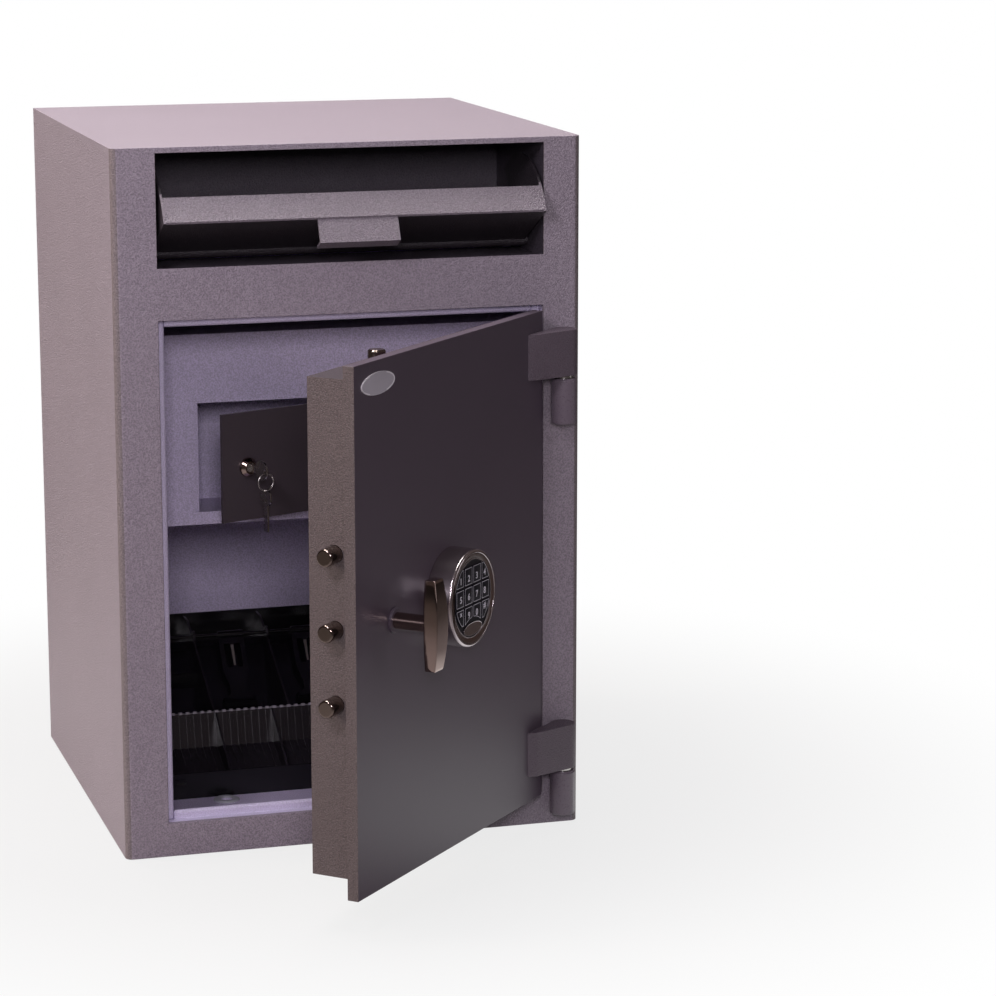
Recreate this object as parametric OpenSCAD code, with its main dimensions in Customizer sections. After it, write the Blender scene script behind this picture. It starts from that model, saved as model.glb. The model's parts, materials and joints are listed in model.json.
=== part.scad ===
// Drop safe with a tilting deposit drawer: a plate body, a hinged door with its
// bolt work, an inner locker with a key lock, and a cash tray on the floor.
// The origin is the middle of the underside. +X is to the right, +Y to the back
// and +Z up. The door, the locker door and the drawer stand open as in use.

/* [Body] */
// Width of the body
body_w = 500; // [480:5:560]
// Depth of the body
body_d = 500; // [490:5:600]
// Height of the body
body_h = 750; // [740:5:800]
// Thickness of the body plates
plate_t = 6; // [5:0.5:7]
// Outside radius of the bends beside the front
corner_r = 8; // [7.5:0.5:12]
// Length of the side returns of the front
return_l = 16; // [14:1:30]

/* [Front openings] */
// Width of the front left of the openings
stile_left = 46; // [44:0.5:52]
// Width of the front on the hinge side
stile_right = 41; // [39:0.5:46]
// Height of the front under the door
sill_h = 36; // [30:1:44]
// Height of the drawer's opening
slot_h = 118; // [116:1:120]
// Height of the band between the two openings
fascia_h = 54; // [50:1:58]

/* [Door] */
// Angle of the open door
door_angle = 46.5; // [0:0.5:90]
// Gap round the closed door
door_gap = 3; // [2:0.5:4]
// Thickness of the door plate
door_t = 12; // [10:0.5:14]
// Space between the closed door and its stop
rebate_gap = 4; // [2:0.5:6]
// Thickness of the stop angles
stop_t = 5; // [4:0.5:6]
// Width of the stop seen inside the opening
stop_lap = 9; // [7:0.5:10]
// Rounding of the edge of the stop
stop_r = 3.5; // [2:0.5:3.5]
// Inset of the bolt cover from the door's edges
cover_inset = 16; // [15:0.5:20]
// Depth of the bolt cover
cover_d = 48.5; // [47:0.5:50]
// Thickness of the cover's sheet
cover_t = 2; // [1.5:0.5:2.5]

/* [Hinges] */
// Distance of the hinge axis in front of the body
hinge_out = 14.5; // [14.5:0.5:18]
// Distance of the hinge axis beside the opening
hinge_side = 18.5; // [17:0.5:22]
// Radius of the hinge barrels
barrel_r = 13.5; // [12:0.5:13.5]
// Height of each barrel and each block
barrel_h = 49; // [44:1:54]
// Space between a barrel and its block
hinge_gap = 3.5; // [3:0.5:5]
// Radius of the hinge pins
pin_r = 6; // [5:0.5:7]
// Length of the block from the axis along the door
block_l = 56.5; // [48:0.5:64]
// Bevel at the end of the block
block_bevel = 8.5; // [6:0.5:10]
// Height of the lower block above the door's edge
block_low = 28.5; // [26.5:0.5:40]
// Distance of the upper block under the door's top edge
block_high = 21; // [16:0.5:40]

/* [Bolt work] */
// Radius of the bolts
bolt_r = 9; // [7:0.5:9.5]
// Distance between the side bolts
bolt_pitch = 75; // [70:1:90]
// Depth of the bolt axes behind the door's face
bolt_depth = 32; // [30:0.5:32.5]
// Throw of the side bolts
bolt_throw = 21; // [18:0.5:21]
// Throw of the top bolt
top_throw = 16; // [12:0.5:16]
// Distance of the spindle from the opening's lock side
spindle_x = 80; // [78:0.5:90]
// Radius of the spindle inside the door
spindle_r = 6; // [5:0.5:6.5]
// Running clearance of turning pieces, on the radius
run_gap = 0.05; // [0.03:0.01:0.1]
// Sliding clearance of the bolts and slots
slide_gap = 0.3; // [0.2:0.05:0.4]
// Thickness of the carriage, rod and cam plates
link_t = 3; // [2.5:0.5:3.5]

/* [Lock and keypad] */
// Width of the lock case
lock_w = 60; // [50:1:66]
// Height of the lock case
lock_h = 85; // [80:1:95]
// Travel of the lock's latch
latch_throw = 12.7; // [10:0.1:13]
// Distance of the keypad from the opening's lock side
keypad_x = 194; // [190:1:205]
// Radius of the keypad housing
keypad_r = 50; // [48:0.5:54]
// Height of the keypad housing off the door
keypad_h = 29; // [26:0.5:32]
// Thickness of the housing's wall
keypad_wall = 4; // [3:0.5:5]
// Pitch of the keys across
key_px = 18.4; // [17:0.1:19]
// Pitch of the keys up
key_pz = 20.2; // [19:0.1:21]
// Gap between neighbouring keys
key_gap = 1.8; // [1.6:0.1:2.4]
// Height of the keys above the face
key_rise = 1; // [0.7:0.1:1.4]

/* [Handle] */
// Length of the handle bar
bar_l = 92; // [80:1:100]
// Width of the handle bar
bar_w = 24; // [20:0.5:28]
// Thickness of the handle bar at its middle
bar_t = 16; // [14:0.5:18]
// Radius of the handle's shaft
shaft_r = 8.5; // [8:0.5:10]
// Length of the shaft in front of the door
shaft_l = 38; // [34:0.5:44]

/* [Floor anchors] */
// Distance of the anchor holes from the sides
anchor_side = 143; // [136:1:150]
// Distance of the anchor holes from the front and the back
anchor_in = 165.5; // [160:0.5:165.5]
// Radius of the anchor holes
anchor_r = 7; // [5:0.5:8]

/* [Deposit drawer] */
// Angle of the open drawer
drawer_angle = 63.4; // [0:0.1:64]
// Depth of the drawer's pivot behind the front
pivot_y = 62; // [60:0.5:66]
// Height of the drawer's pivot above its opening's edge
pivot_z = 8; // [7.5:0.5:10]
// Radius of the drawer
drawer_r = 92.8; // [90:0.1:94]
// Thickness of the drawer's sheet
sheet_t = 2.5; // [2:0.5:3]
// Gap between the drawer's cheeks and the recess
cheek_gap = 3.5; // [3:0.5:5]
// Depth of the drawer's top flange
flange_l = 29; // [24:1:34]
// Length of the drawer's back plate
pocket_l = 62; // [56:1:62]
// Width of the pull
pull_w = 85; // [70:1:110]
// Reach of the pull in front of the drawer
pull_d = 27; // [22:1:28]
// Height of the pull's lip
pull_h = 17; // [12:1:20]
// Depth of the recess round the drawer
recess_d = 171; // [166:1:176]

/* [Locker] */
// Angle of the open locker door
locker_angle = 21; // [0:1:21]
// Depth of the locker's front behind the body's front
locker_y = 165; // [165:1:175]
// Depth of the locker
locker_d = 130; // [115:1:140]
// Gap between the locker's top and the top of the door opening
locker_drop = 41; // [38:1:44]
// Height of the locker
locker_h = 210; // [206:1:212]
// Thickness of the locker's front and door
locker_t = 4; // [4:0.5:5]
// Distance of the locker's opening from the lock side
locker_open_x = 68.5; // [64:0.5:72]
// Width of the locker's opening
locker_open_w = 206; // [196:1:212]
// Height of the locker's opening
locker_open_h = 120.5; // [116:0.5:126]

/* [Cash tray] */
// Width of the tray
tray_w = 331; // [320:1:345]
// Distance of the tray's front behind the body's front
tray_in = 181; // [181:1:188]
// Space behind the tray
tray_back_gap = 49; // [44:1:56]
// Thickness of the tray's walls
tray_t = 2.5; // [2:0.5:3]
// Height of the tray's front
tray_front_h = 29; // [26:1:34]
// Height of the tray's wall behind the coins
tray_mid_h = 74; // [70:1:80]
// Height of the tray's back
tray_back_h = 148; // [144:1:154]
// Depth of the coin cups
coin_d = 85; // [78:1:90]
// Number of coin cups
coin_n = 5; // [4:1:6]
// Number of note compartments beside the narrow first one
note_n = 3; // [2:1:4]
// Pitch of the ribs in the coin cups
rib_p = 8.4; // [7:0.1:12]

/* [Hidden] */
$fn = 64;
KEY_NODES = ["key_1", "key_2", "key_3", "key_4", "key_5", "key_6", "key_7", "key_8",
             "key_clear", "key_9", "key_0", "key_enter"];
CLIP_NODES = [for (k = [1:note_n]) str("note_clip_", k)];

// Colours
paint_grey = [0.45, 0.42, 0.46];
inner_grey = [0.58, 0.56, 0.62];
steel = [0.62, 0.61, 0.58];
bright_steel = [0.78, 0.77, 0.75];
chrome = [0.85, 0.85, 0.87];
black_plastic = [0.06, 0.06, 0.07];
dark_plastic = [0.22, 0.22, 0.24];
brass_tone = [0.72, 0.62, 0.38];

// Body planes
x_left = -body_w / 2;
x_right = body_w / 2;
y_front = -body_d / 2;
y_back = body_d / 2;
in_left = x_left + plate_t;
in_right = x_right - plate_t;
in_w = body_w - 2 * plate_t;
shell_h = body_h - 2 * plate_t;
eps = 0.5;

// Openings in the front
open_x0 = x_left + stile_left;
open_x1 = x_right - stile_right;
open_w = open_x1 - open_x0;
open_mid = (open_x0 + open_x1) / 2;
open_z0 = sill_h;
slot_z1 = body_h - plate_t;
slot_z0 = slot_z1 - slot_h;
open_z1 = slot_z0 - fascia_h;
door_open_h = open_z1 - open_z0;

// Closed door
door_x0 = open_x0 + door_gap;
door_x1 = open_x1 - door_gap;
door_z0 = open_z0 + door_gap;
door_z1 = open_z1 - door_gap;
door_back = y_front + door_t;
stop_y = door_back + rebate_gap;
cover_x0 = door_x0 + cover_inset;
cover_x1 = door_x1 - cover_inset;
cover_z0 = door_z0 + cover_inset;
cover_z1 = door_z1 - cover_inset;
cover_back = door_back + cover_d;

// Hinges
hinge_x = open_x1 + hinge_side;
hinge_y = y_front - hinge_out;
block_zs = [door_z0 + block_low, door_z1 - block_high - barrel_h];
pin_foot = 4;
pin_reach = 38;
washer_r = 10;
web_w = 12;

// Bolt work, on the closed door
work_z = (door_z0 + door_z1) / 2 + 2;
spin_x = open_x0 + spindle_x;
bolt_y = y_front + bolt_depth;
bolt_tip = cover_x0 - bolt_throw;
bolt_rear = cover_x0 + 25;
bolt_zs = [work_z - bolt_pitch, work_z, work_z + bolt_pitch];
lug_t = 7;
lug_side = 20;
carriage_y = bolt_y + bolt_r + 1;
carriage_x0 = cover_x0 + 13;
carriage_past = 39;
carriage_x1 = spin_x + carriage_past;
carriage_side = 16;
cam_y = carriage_y + link_t + 0.5;
cam_t = 4;
cam_r = 27;
crank_swing = 60;
crank_r = bolt_throw / (2 * sin(crank_swing / 2));
crank_pin_r = 4;
crank_x = spin_x - bolt_throw / 2;
crank_z = work_z + crank_r * cos(crank_swing / 2);
crank_slack = 0.35;
rod_y = cam_y + cam_t + 0.7;
top_x = spin_x + 26;
top_tip = cover_z1 + top_throw;
top_foot = cover_z1 - 22;
top_crank_r = top_throw / (2 * sin(crank_swing / 2));
top_pin_r = 3.5;
top_pin_x = spin_x + top_crank_r * cos(crank_swing / 2);
top_pin_z = work_z + top_throw / 2;
rod_w = 18;
rod_foot_h = 22;
post_r = 4;
post_end = cover_back - cover_t;
guide_x = spin_x - 16;
guide_dz = 37.5;
rod_guide_up = 114;
rod_guide_z = work_z + rod_guide_up;
drive_side = 8.5;

// Lock and keypad, on the closed door
pad_x = open_x0 + keypad_x;
pad_z = work_z + 1;
lock_d = 30;
lock_foot = 42;
lock_z0 = pad_z - lock_foot;
lock_z1 = lock_z0 + lock_h;
latch_w = 16;
latch_d = 12;
latch_l = 31;
latch_y = door_back + 10;
tab_t = 7;
tab_gap = 5;
tab_x = pad_x - latch_w / 2 - tab_gap;
tab_z = lock_z1 + 2.5;
tab_h = 13.5;
latch_top = lock_z1 + 1;
face_r = keypad_r - keypad_wall - 0.4;
face_t = 2.5;
face_drop = 2;
key_t = 4;
key_field_r = 38;
key_field_z = 4;
badge_r = 27;
badge_z = -47;
key_travel = 0.6;

// Handle
bar_y = y_front - shaft_l;
collar_r = 13;
collar_h = 3;

// Deposit drawer
pin_y = y_front + pivot_y;
pin_z = slot_z0 + pivot_z;
cheek_x0 = open_x0 + cheek_gap;
cheek_x1 = open_x1 - cheek_gap;
pocket_angle = -13.4;
boss_r = 6;
stub_r = 5;
recess_t = 3;
floor_top = slot_z0 - 3;
floor_in = 92;
floor_end = y_front + floor_in;
baffle_z0 = slot_z0 + 24;
chute_t = 2;

// Locker
lock_front = y_front + locker_y;
lock_back = lock_front + locker_d;
locker_top = open_z1 - locker_drop;
locker_z = locker_top - locker_h;
locker_sheet = 2;
lo_x0 = open_x0 + locker_open_x;
lo_x1 = lo_x0 + locker_open_w;
lo_z0 = locker_z + 14;
lo_z1 = lo_z0 + locker_open_h;
lo_gap = 1.2;
lpin_r = 1.5;
lpin_x = lo_x1 - lo_gap - locker_t / 2;
lpin_y = lock_front + locker_t / 2;
lpin_l = 12;
llock_x = lo_x0 + 33;
llock_z = (lo_z0 + lo_z1) / 2 - 1;
llock_r = 8;
llock_head_r = 10.5;
llock_head = 7;
llock_len = 16;
tongue_l = 36;
tongue_t = 3;
bow_w = 22;
bow_t = 2.2;
bow_out = 38;
bow_hole_r = 2.4;
bow_hole_y = 35;
spare_bow_r = 9.5;
blade_w = 7;
blade_l = 34;
blade_drop = 43;
tooth_w = 2.2;
tooth_pitch = 4.6;
ring_r = 9.5;
wire_r = 0.8;
hang_gap = 0.1;

// Floor anchors
anchor_x = body_w / 2 - anchor_side;
anchor_y = body_d / 2 - anchor_in;
anchor_ring_r = 14.5;

// Cash tray
tray_x0 = -tray_w / 2;
tray_x1 = tray_w / 2;
tray_y0 = y_front + tray_in;
tray_y1 = y_back - plate_t - tray_back_gap;
tray_z0 = plate_t;
note_y0 = tray_y0 + coin_d;
note_d = tray_y1 - note_y0;
note_drawn_d = 179;
note_stretch = note_d / note_drawn_d;
coin_floor = 6;
bed_back = 115;
bed_drop = 18;
bed_head_back = 50;
bed_head_drop = 22;
bed_y = tray_y1 - bed_back * note_stretch;
bed_z = tray_z0 + tray_mid_h - bed_drop;
bed_head_y = tray_y1 - bed_head_back * note_stretch;
bed_head_z = tray_z0 + tray_back_h - bed_head_drop;
bed_angle = atan2(bed_head_z - bed_z, bed_head_y - bed_y);
wall_knee_back = 30;
wall_knee = wall_knee_back * note_stretch;
ledge_back = 92;
ledge_rise = 42;
ledge_y = tray_y1 - ledge_back * note_stretch;
ledge_z = bed_z + ledge_rise;
cup_gap = 0.3;
scoop_lip = 3;
scoop_kink = 37;
scoop_back = 13;
scoop_top = 3;
scoop_t = 2;
rib_rise = 1;
cup_pitch = (tray_w - 2 * tray_t) / coin_n;
first_wall = tray_x0 + tray_t / 2 + cup_pitch;
note_pitch = (tray_x1 - tray_t - first_wall) / note_n;
rod_r = 2;
rod_ear_r = 7;
rod_back = 62;
rod_drop = 14;
rod_pos_y = tray_y1 - rod_back * note_stretch;
rod_pos_z = tray_z0 + tray_back_h - rod_drop;
rod_u = (rod_pos_y - bed_y) * cos(bed_angle) + (rod_pos_z - bed_z) * sin(bed_angle);
rod_n = (rod_pos_z - bed_z) * cos(bed_angle) - (rod_pos_y - bed_y) * sin(bed_angle);
clip_w = 30;
foot_u = 2;
clip_l = rod_u - foot_u;
clip_t = 2.5;
clip_hub_r = 4.5;
clip_rest = 0.3;
clip_slot = 7;
clip_bar = 5;
window_near = 12;
window_far = 42;
waist_w = 19;
waist_from = 26;
waist_to = 17;
flare = 8;
foot_w = 36;
foot_l = 12;
foot_t = 6.5;

// Moves a piece of the closed door to where the open door stands
module on_door() {
    translate([hinge_x, hinge_y, 0]) rotate([0, 0, door_angle]) translate([-hinge_x, -hinge_y, 0])
        children();
}

// The same for the locker's door
module on_locker_door() {
    translate([lpin_x, lpin_y, 0]) rotate([0, 0, locker_angle]) translate([-lpin_x, -lpin_y, 0])
        children();
}

// The drawer is drawn closed, from its pivot, and then tipped forward
module on_drawer() {
    translate([0, pin_y, pin_z]) rotate([drawer_angle, 0, 0]) children();
}

// A block between two corners
module block(a, b) {
    translate(a) cube(b - a);
}

// A cylinder along Y from y0 to y1
module rod_y(x, z, r, y0, y1) {
    translate([x, y1, z]) rotate([90, 0, 0]) cylinder(r = r, h = y1 - y0);
}

// A cylinder along X from x0 to x1
module rod_x(y, z, r, x0, x1) {
    translate([x0, y, z]) rotate([0, 90, 0]) cylinder(r = r, h = x1 - x0);
}

// An outline drawn in Y and Z, extruded from x0 to x1
module along_x(x0, x1) {
    translate([x0, 0, 0]) rotate([90, 0, 90]) linear_extrude(x1 - x0) children();
}

// An outline drawn in X and Z, extruded from y0 back to y1
module along_y(y0, y1) {
    translate([0, y1, 0]) rotate([90, 0, 0]) linear_extrude(y1 - y0) children();
}

// A slot outline between two points
module slot2d(a, b, r) {
    translate(a) circle(r);
    translate(b) circle(r);
    d = b - a;
    translate(a) rotate(atan2(d.y, d.x)) translate([0, -r]) square([norm(d), 2 * r]);
}

// The body's plan, with the bends beside the front
module body_plan(inset, r) {
    x0 = x_left + inset;
    x1 = x_right - inset;
    y0 = y_front + inset;
    translate([x0, y0 + r]) square([x1 - x0, y_back - y0 - r]);
    translate([x0 + r, y0]) square([x1 - x0 - 2 * r, 2 * r]);
    for (x = [x0 + r, x1 - r]) translate([x, y0 + r]) circle(r);
}

module front_frame() {
    color(paint_grey) difference() {
        translate([0, 0, plate_t]) linear_extrude(shell_h) difference() {
            intersection() {
                body_plan(0, corner_r);
                translate([x_left, y_front]) square([body_w, return_l]);
            }
            body_plan(plate_t, corner_r - plate_t);
        }
        block([open_x0, y_front - eps, open_z0], [open_x1, y_front + plate_t + eps, open_z1]);
        block([open_x0, y_front - eps, slot_z0], [open_x1, y_front + plate_t + eps, body_h]);
    }
}

module side_plates() {
    color(paint_grey) for (x = [x_left, in_right])
        block([x, y_front + return_l, plate_t], [x + plate_t, y_back, body_h - plate_t]);
}

module top_plate() {
    color(paint_grey) translate([0, 0, body_h - plate_t]) linear_extrude(plate_t) body_plan(0, corner_r);
}

module base_plate() {
    color(paint_grey) difference() {
        linear_extrude(plate_t) body_plan(0, corner_r);
        for (x = [-anchor_x, anchor_x], y = [-anchor_y, anchor_y])
            translate([x, y, -eps]) cylinder(r = anchor_r, h = plate_t + 2 * eps);
    }
}

module anchor_washers() {
    color(bright_steel) for (x = [-anchor_x, anchor_x], y = [-anchor_y, anchor_y])
        translate([x, y, plate_t]) difference() {
            union() {
                cylinder(r = anchor_ring_r, h = 1.2);
                cylinder(r = anchor_ring_r - 1.5, h = 2);
            }
            translate([0, 0, -eps]) cylinder(r = anchor_r + 0.2, h = 4);
        }
}

module back_plate() {
    color(paint_grey)
        block([in_left, y_back - plate_t, plate_t], [in_right, y_back, body_h - plate_t]);
}

// Section of a stop angle: the jamb lies at x < 0 and the stop reaches to stop_lap
module stop_section() {
    jamb_y0 = y_front + plate_t;
    translate([-stop_t, jamb_y0]) square([stop_t, stop_y + stop_t - jamb_y0]);
    difference() {
        translate([0, stop_y]) square([stop_lap, stop_t]);
        translate([stop_lap - stop_r, stop_y]) square(stop_r + eps);
    }
    intersection() {
        translate([stop_lap - stop_r, stop_y + stop_r]) circle(stop_r);
        translate([0, stop_y]) square([stop_lap, stop_t]);
    }
    translate([stop_lap - stop_r, stop_y + stop_r])
        square([stop_r, stop_t - stop_r]);
}

// The part of the section that only the jamb has
module jamb_section() {
    jamb_y0 = y_front + plate_t;
    translate([-stop_t, jamb_y0]) square([stop_t, stop_y + stop_t - jamb_y0]);
}

module stop_uprights() {
    color(inner_grey) {
        translate([open_x0, 0, open_z0]) linear_extrude(door_open_h) stop_section();
        translate([open_x1, 0, open_z0]) linear_extrude(door_open_h) mirror([1, 0]) stop_section();
    }
}

module stop_rails() {
    lie = [0, 90, 0];
    color(inner_grey) for (top = [0, 1]) {
        z = top == 1 ? open_z1 : open_z0;
        flip = top == 1 ? 0 : 1;
        translate([open_x0, 0, z]) rotate(lie) linear_extrude(open_w)
            mirror([flip, 0]) jamb_section();
        translate([open_x0 + stop_lap, 0, z]) rotate(lie) linear_extrude(open_w - 2 * stop_lap)
            mirror([flip, 0]) stop_section();
    }
}

module hinge_barrels() {
    color(steel) for (bz = block_zs) {
        z0 = bz - hinge_gap - barrel_h;
        difference() {
            translate([hinge_x, hinge_y, z0]) union() {
                cylinder(r = barrel_r - 1, h = barrel_h);
                translate([0, 0, 1]) cylinder(r = barrel_r, h = barrel_h - 3);
                translate([0, 0, barrel_h - 2]) cylinder(r1 = barrel_r, r2 = barrel_r - 1, h = 1);
                translate([-web_w / 2, 0, 2]) cube([web_w, hinge_out, barrel_h - 4]);
            }
            translate([hinge_x, hinge_y, z0 + pin_foot]) cylinder(r = pin_r + 0.02, h = barrel_h);
        }
    }
}

// Each pin has a collar that carries the block
module hinge_pins() {
    color(bright_steel) for (bz = block_zs) translate([hinge_x, hinge_y, bz - hinge_gap]) {
        translate([0, 0, pin_foot - barrel_h])
            cylinder(r = pin_r, h = barrel_h - pin_foot + hinge_gap + pin_reach);
        cylinder(r = washer_r, h = hinge_gap - 0.2);
    }
}

// Plan of a hinge block on the closed door: a bevelled wedge that runs into the knuckle
module block_plan() {
    q = [hinge_x - block_l + block_bevel, y_front - block_bevel];
    a = [hinge_x, hinge_y];
    to_axis = a - q;
    reach = norm(to_axis);
    lean = atan2(to_axis.y, to_axis.x) - asin(barrel_r / reach);
    run = sqrt(reach * reach - barrel_r * barrel_r);
    tangent = q + run * [cos(lean), sin(lean)];
    translate(a) circle(barrel_r);
    polygon([[hinge_x - block_l, y_front], q, tangent, a,
             [hinge_x, hinge_y + barrel_r - 1], [door_x1, y_front - 1.5], [door_x1, y_front]]);
}

module hinge_blocks() {
    color(paint_grey) on_door() for (bz = block_zs) difference() {
        translate([0, 0, bz]) linear_extrude(barrel_h) block_plan();
        translate([hinge_x, hinge_y, bz - eps]) cylinder(r = pin_r + run_gap, h = pin_reach + 1 + eps);
    }
}

module door_plate() {
    color(paint_grey) on_door() difference() {
        block([door_x0, y_front, door_z0], [door_x1, door_back, door_z1]);
        rod_y(spin_x, work_z, spindle_r + run_gap, y_front - eps, door_back + eps);
        rod_y(pad_x, pad_z, 5, y_front - eps, door_back + eps);
    }
}

module bolt_cover() {
    color(paint_grey) on_door() difference() {
        block([cover_x0, door_back, cover_z0], [cover_x1, cover_back, cover_z1]);
        block([cover_x0 + cover_t, door_back - eps, cover_z0 + cover_t],
              [cover_x1 - cover_t, cover_back - cover_t, cover_z1 - cover_t]);
        for (z = bolt_zs)
            rod_x(bolt_y, z, bolt_r + slide_gap, cover_x0 - eps, cover_x0 + cover_t + eps);
        translate([top_x, bolt_y, cover_z1 - cover_t - eps])
            cylinder(r = bolt_r + slide_gap, h = cover_t + 2 * eps);
    }
}

// The posts hold the cover, and three of them guide the carriage and the rod
module bolt_posts() {
    corner = 24;
    places = [[cover_x0 + corner, cover_z0 + corner], [cover_x1 - corner, cover_z0 + corner],
              [cover_x0 + corner, cover_z1 - corner], [cover_x1 - corner, cover_z1 - corner],
              [guide_x, work_z - guide_dz], [guide_x, work_z + guide_dz], [top_x, rod_guide_z]];
    color(steel) on_door() for (p = places) rod_y(p.x, p.y, post_r, door_back, post_end);
}

module bolt_carriage() {
    y0 = carriage_y;
    y1 = carriage_y + link_t;
    z0 = bolt_zs[0] - carriage_side;
    z1 = bolt_zs[2] + carriage_side;
    travel = [bolt_throw, 0];
    color(steel) on_door() {
        difference() {
            union() {
                block([carriage_x0, y0, z0], [carriage_x1, y1, z1]);
                block([carriage_x1 - eps, y0, tab_z], [tab_x, y1, tab_z + tab_h]);
            }
            along_y(y0 - eps, y1 + eps) {
                slot2d([spin_x, work_z] - travel, [spin_x, work_z], spindle_r + 0.5);
                for (s = [-1, 1])
                    slot2d([guide_x, work_z + s * guide_dz] - travel, [guide_x, work_z + s * guide_dz],
                           post_r + slide_gap);
                slot2d([crank_x, crank_z - 2], [crank_x, crank_z + 6], crank_pin_r + crank_slack);
            }
        }
        for (z = bolt_zs)
            block([bolt_rear, bolt_y - bolt_r + 1, z - lug_side / 2],
                  [bolt_rear + lug_t, y0, z + lug_side / 2]);
        block([tab_x - tab_t, latch_y, tab_z], [tab_x, y0, tab_z + tab_h]);
    }
}

module side_bolts() {
    color(chrome) on_door() for (z = bolt_zs) {
        translate([bolt_tip, bolt_y, z]) rotate([0, 90, 0]) {
            cylinder(r1 = bolt_r - 1.5, r2 = bolt_r, h = 1.5);
            translate([0, 0, 1.5]) cylinder(r = bolt_r, h = bolt_rear - bolt_tip - 1.5);
        }
    }
}

module top_bolt() {
    y1 = rod_y + link_t;
    color(chrome) on_door() {
        translate([top_x, bolt_y, top_foot]) {
            cylinder(r = bolt_r, h = top_tip - top_foot - 1.5);
            translate([0, 0, top_tip - top_foot - 1.5]) cylinder(r1 = bolt_r, r2 = bolt_r - 1.5, h = 1.5);
        }
        block([top_x - rod_w / 2, bolt_y - bolt_r + 1, top_foot - 7], [top_x + rod_w / 2, y1, top_foot]);
        difference() {
            union() {
                block([top_x - rod_w / 2, rod_y, top_pin_z - rod_foot_h / 2],
                      [top_x + rod_w / 2, y1, top_foot - 3]);
                block([spin_x + 4, rod_y, top_pin_z - rod_foot_h / 2],
                      [top_x, y1, top_pin_z + rod_foot_h / 2]);
            }
            along_y(rod_y - eps, y1 + eps) {
                slot2d([top_pin_x - 1, top_pin_z], [spin_x + top_crank_r + 1, top_pin_z],
                       top_pin_r + crank_slack);
                slot2d([top_x, rod_guide_z], [top_x, rod_guide_z + top_throw], post_r + slide_gap);
            }
        }
    }
}

module drive_cam() {
    color(steel) on_door() difference() {
        union() {
            rod_y(spin_x, work_z, cam_r, cam_y, cam_y + cam_t);
            rod_y(crank_x, crank_z, crank_pin_r, carriage_y - 0.5, cam_y + eps);
            rod_y(top_pin_x, top_pin_z, top_pin_r, cam_y + cam_t - eps, rod_y + link_t + 0.5);
        }
        along_y(cam_y - eps, cam_y + cam_t + eps)
            translate([spin_x - drive_side / 2, work_z - drive_side / 2]) square(drive_side);
    }
}

module handle_spindle() {
    color(chrome) on_door() {
        rod_y(spin_x, work_z, shaft_r, bar_y, y_front - collar_h);
        rod_y(spin_x, work_z, spindle_r, y_front - collar_h - eps, cam_y);
        along_y(cam_y - eps, cam_y + cam_t)
            translate([spin_x - drive_side / 2, work_z - drive_side / 2]) square(drive_side);
    }
}

module handle_collar() {
    color(dark_plastic) on_door() difference() {
        union() {
            rod_y(spin_x, work_z, collar_r, y_front - collar_h + 1, y_front);
            rod_y(spin_x, work_z, collar_r - 1, y_front - collar_h + 0.2, y_front);
        }
        rod_y(spin_x, work_z, spindle_r + run_gap, y_front - collar_h - eps, y_front + eps);
    }
}

// The bar is bowed in front and tapers towards its ends
module handle_bar() {
    taper = 3;
    bow_in = 4.5;
    half = bar_l / 2;
    side_r = (half * half + taper * taper) / (2 * taper);
    front_r = (half * half + bow_in * bow_in) / (2 * bow_in);
    color(chrome) on_door() translate([spin_x, bar_y, work_z]) intersection() {
        along_y(-bar_t, 0) intersection() {
            translate([-side_r + bar_w / 2, 0]) circle(side_r, $fn = 256);
            translate([side_r - bar_w / 2, 0]) circle(side_r, $fn = 256);
            translate([-bar_w / 2, -half]) square([bar_w, bar_l]);
        }
        along_x(-bar_w / 2, bar_w / 2) intersection() {
            translate([front_r - bar_t, 0]) circle(front_r, $fn = 256);
            translate([-bar_t, -half]) square([bar_t, bar_l]);
        }
    }
}

module lock_case() {
    color(brass_tone) on_door() difference() {
        block([pad_x - lock_w / 2, door_back, lock_z0], [pad_x + lock_w / 2, door_back + lock_d, lock_z1]);
        block([pad_x - latch_w / 2 - slide_gap, latch_y - slide_gap, latch_top - latch_l - 2],
              [pad_x + latch_w / 2 + slide_gap, latch_y + latch_d + slide_gap, lock_z1 + eps]);
    }
}

module lock_latch() {
    color(bright_steel) on_door()
        block([pad_x - latch_w / 2, latch_y, latch_top - latch_l],
              [pad_x + latch_w / 2, latch_y + latch_d, latch_top]);
}

module keypad_housing() {
    edge = 3;
    inner_r = keypad_r - keypad_wall;
    color(steel) on_door() translate([pad_x, y_front, pad_z]) rotate([90, 0, 0]) rotate_extrude($fn = 96)
        difference() {
            union() {
                square([keypad_r, keypad_h - edge]);
                square([keypad_r - edge, keypad_h]);
                translate([keypad_r - edge, keypad_h - edge]) circle(edge, $fn = 48);
            }
            translate([0, 3]) square([inner_r, keypad_h]);
            translate([-edge, -eps]) square([edge, keypad_h + 2 * eps]);
        }
}

// Outline of one key: a cell of the grid inside the field and clear of the badge's place
module key_outline(i, grow) {
    col = i % 4;
    row = floor(i / 4);
    w = key_px - key_gap + 2 * grow;
    h = key_pz - key_gap + 2 * grow;
    difference() {
        intersection() {
            translate([(col - 1.5) * key_px - w / 2, key_field_z + (1 - row) * key_pz - h / 2])
                square([w, h]);
            translate([0, key_field_z]) circle(key_field_r + grow, $fn = 96);
        }
        translate([0, badge_z]) circle(badge_r - grow, $fn = 96);
    }
}

module keypad_face() {
    front = keypad_h - face_drop;
    color(black_plastic) on_door() translate([pad_x, y_front - front + face_t, pad_z]) rotate([90, 0, 0])
        linear_extrude(face_t) difference() {
            circle(face_r, $fn = 96);
            for (i = [0:11]) key_outline(i, slide_gap);
        }
}

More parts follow.
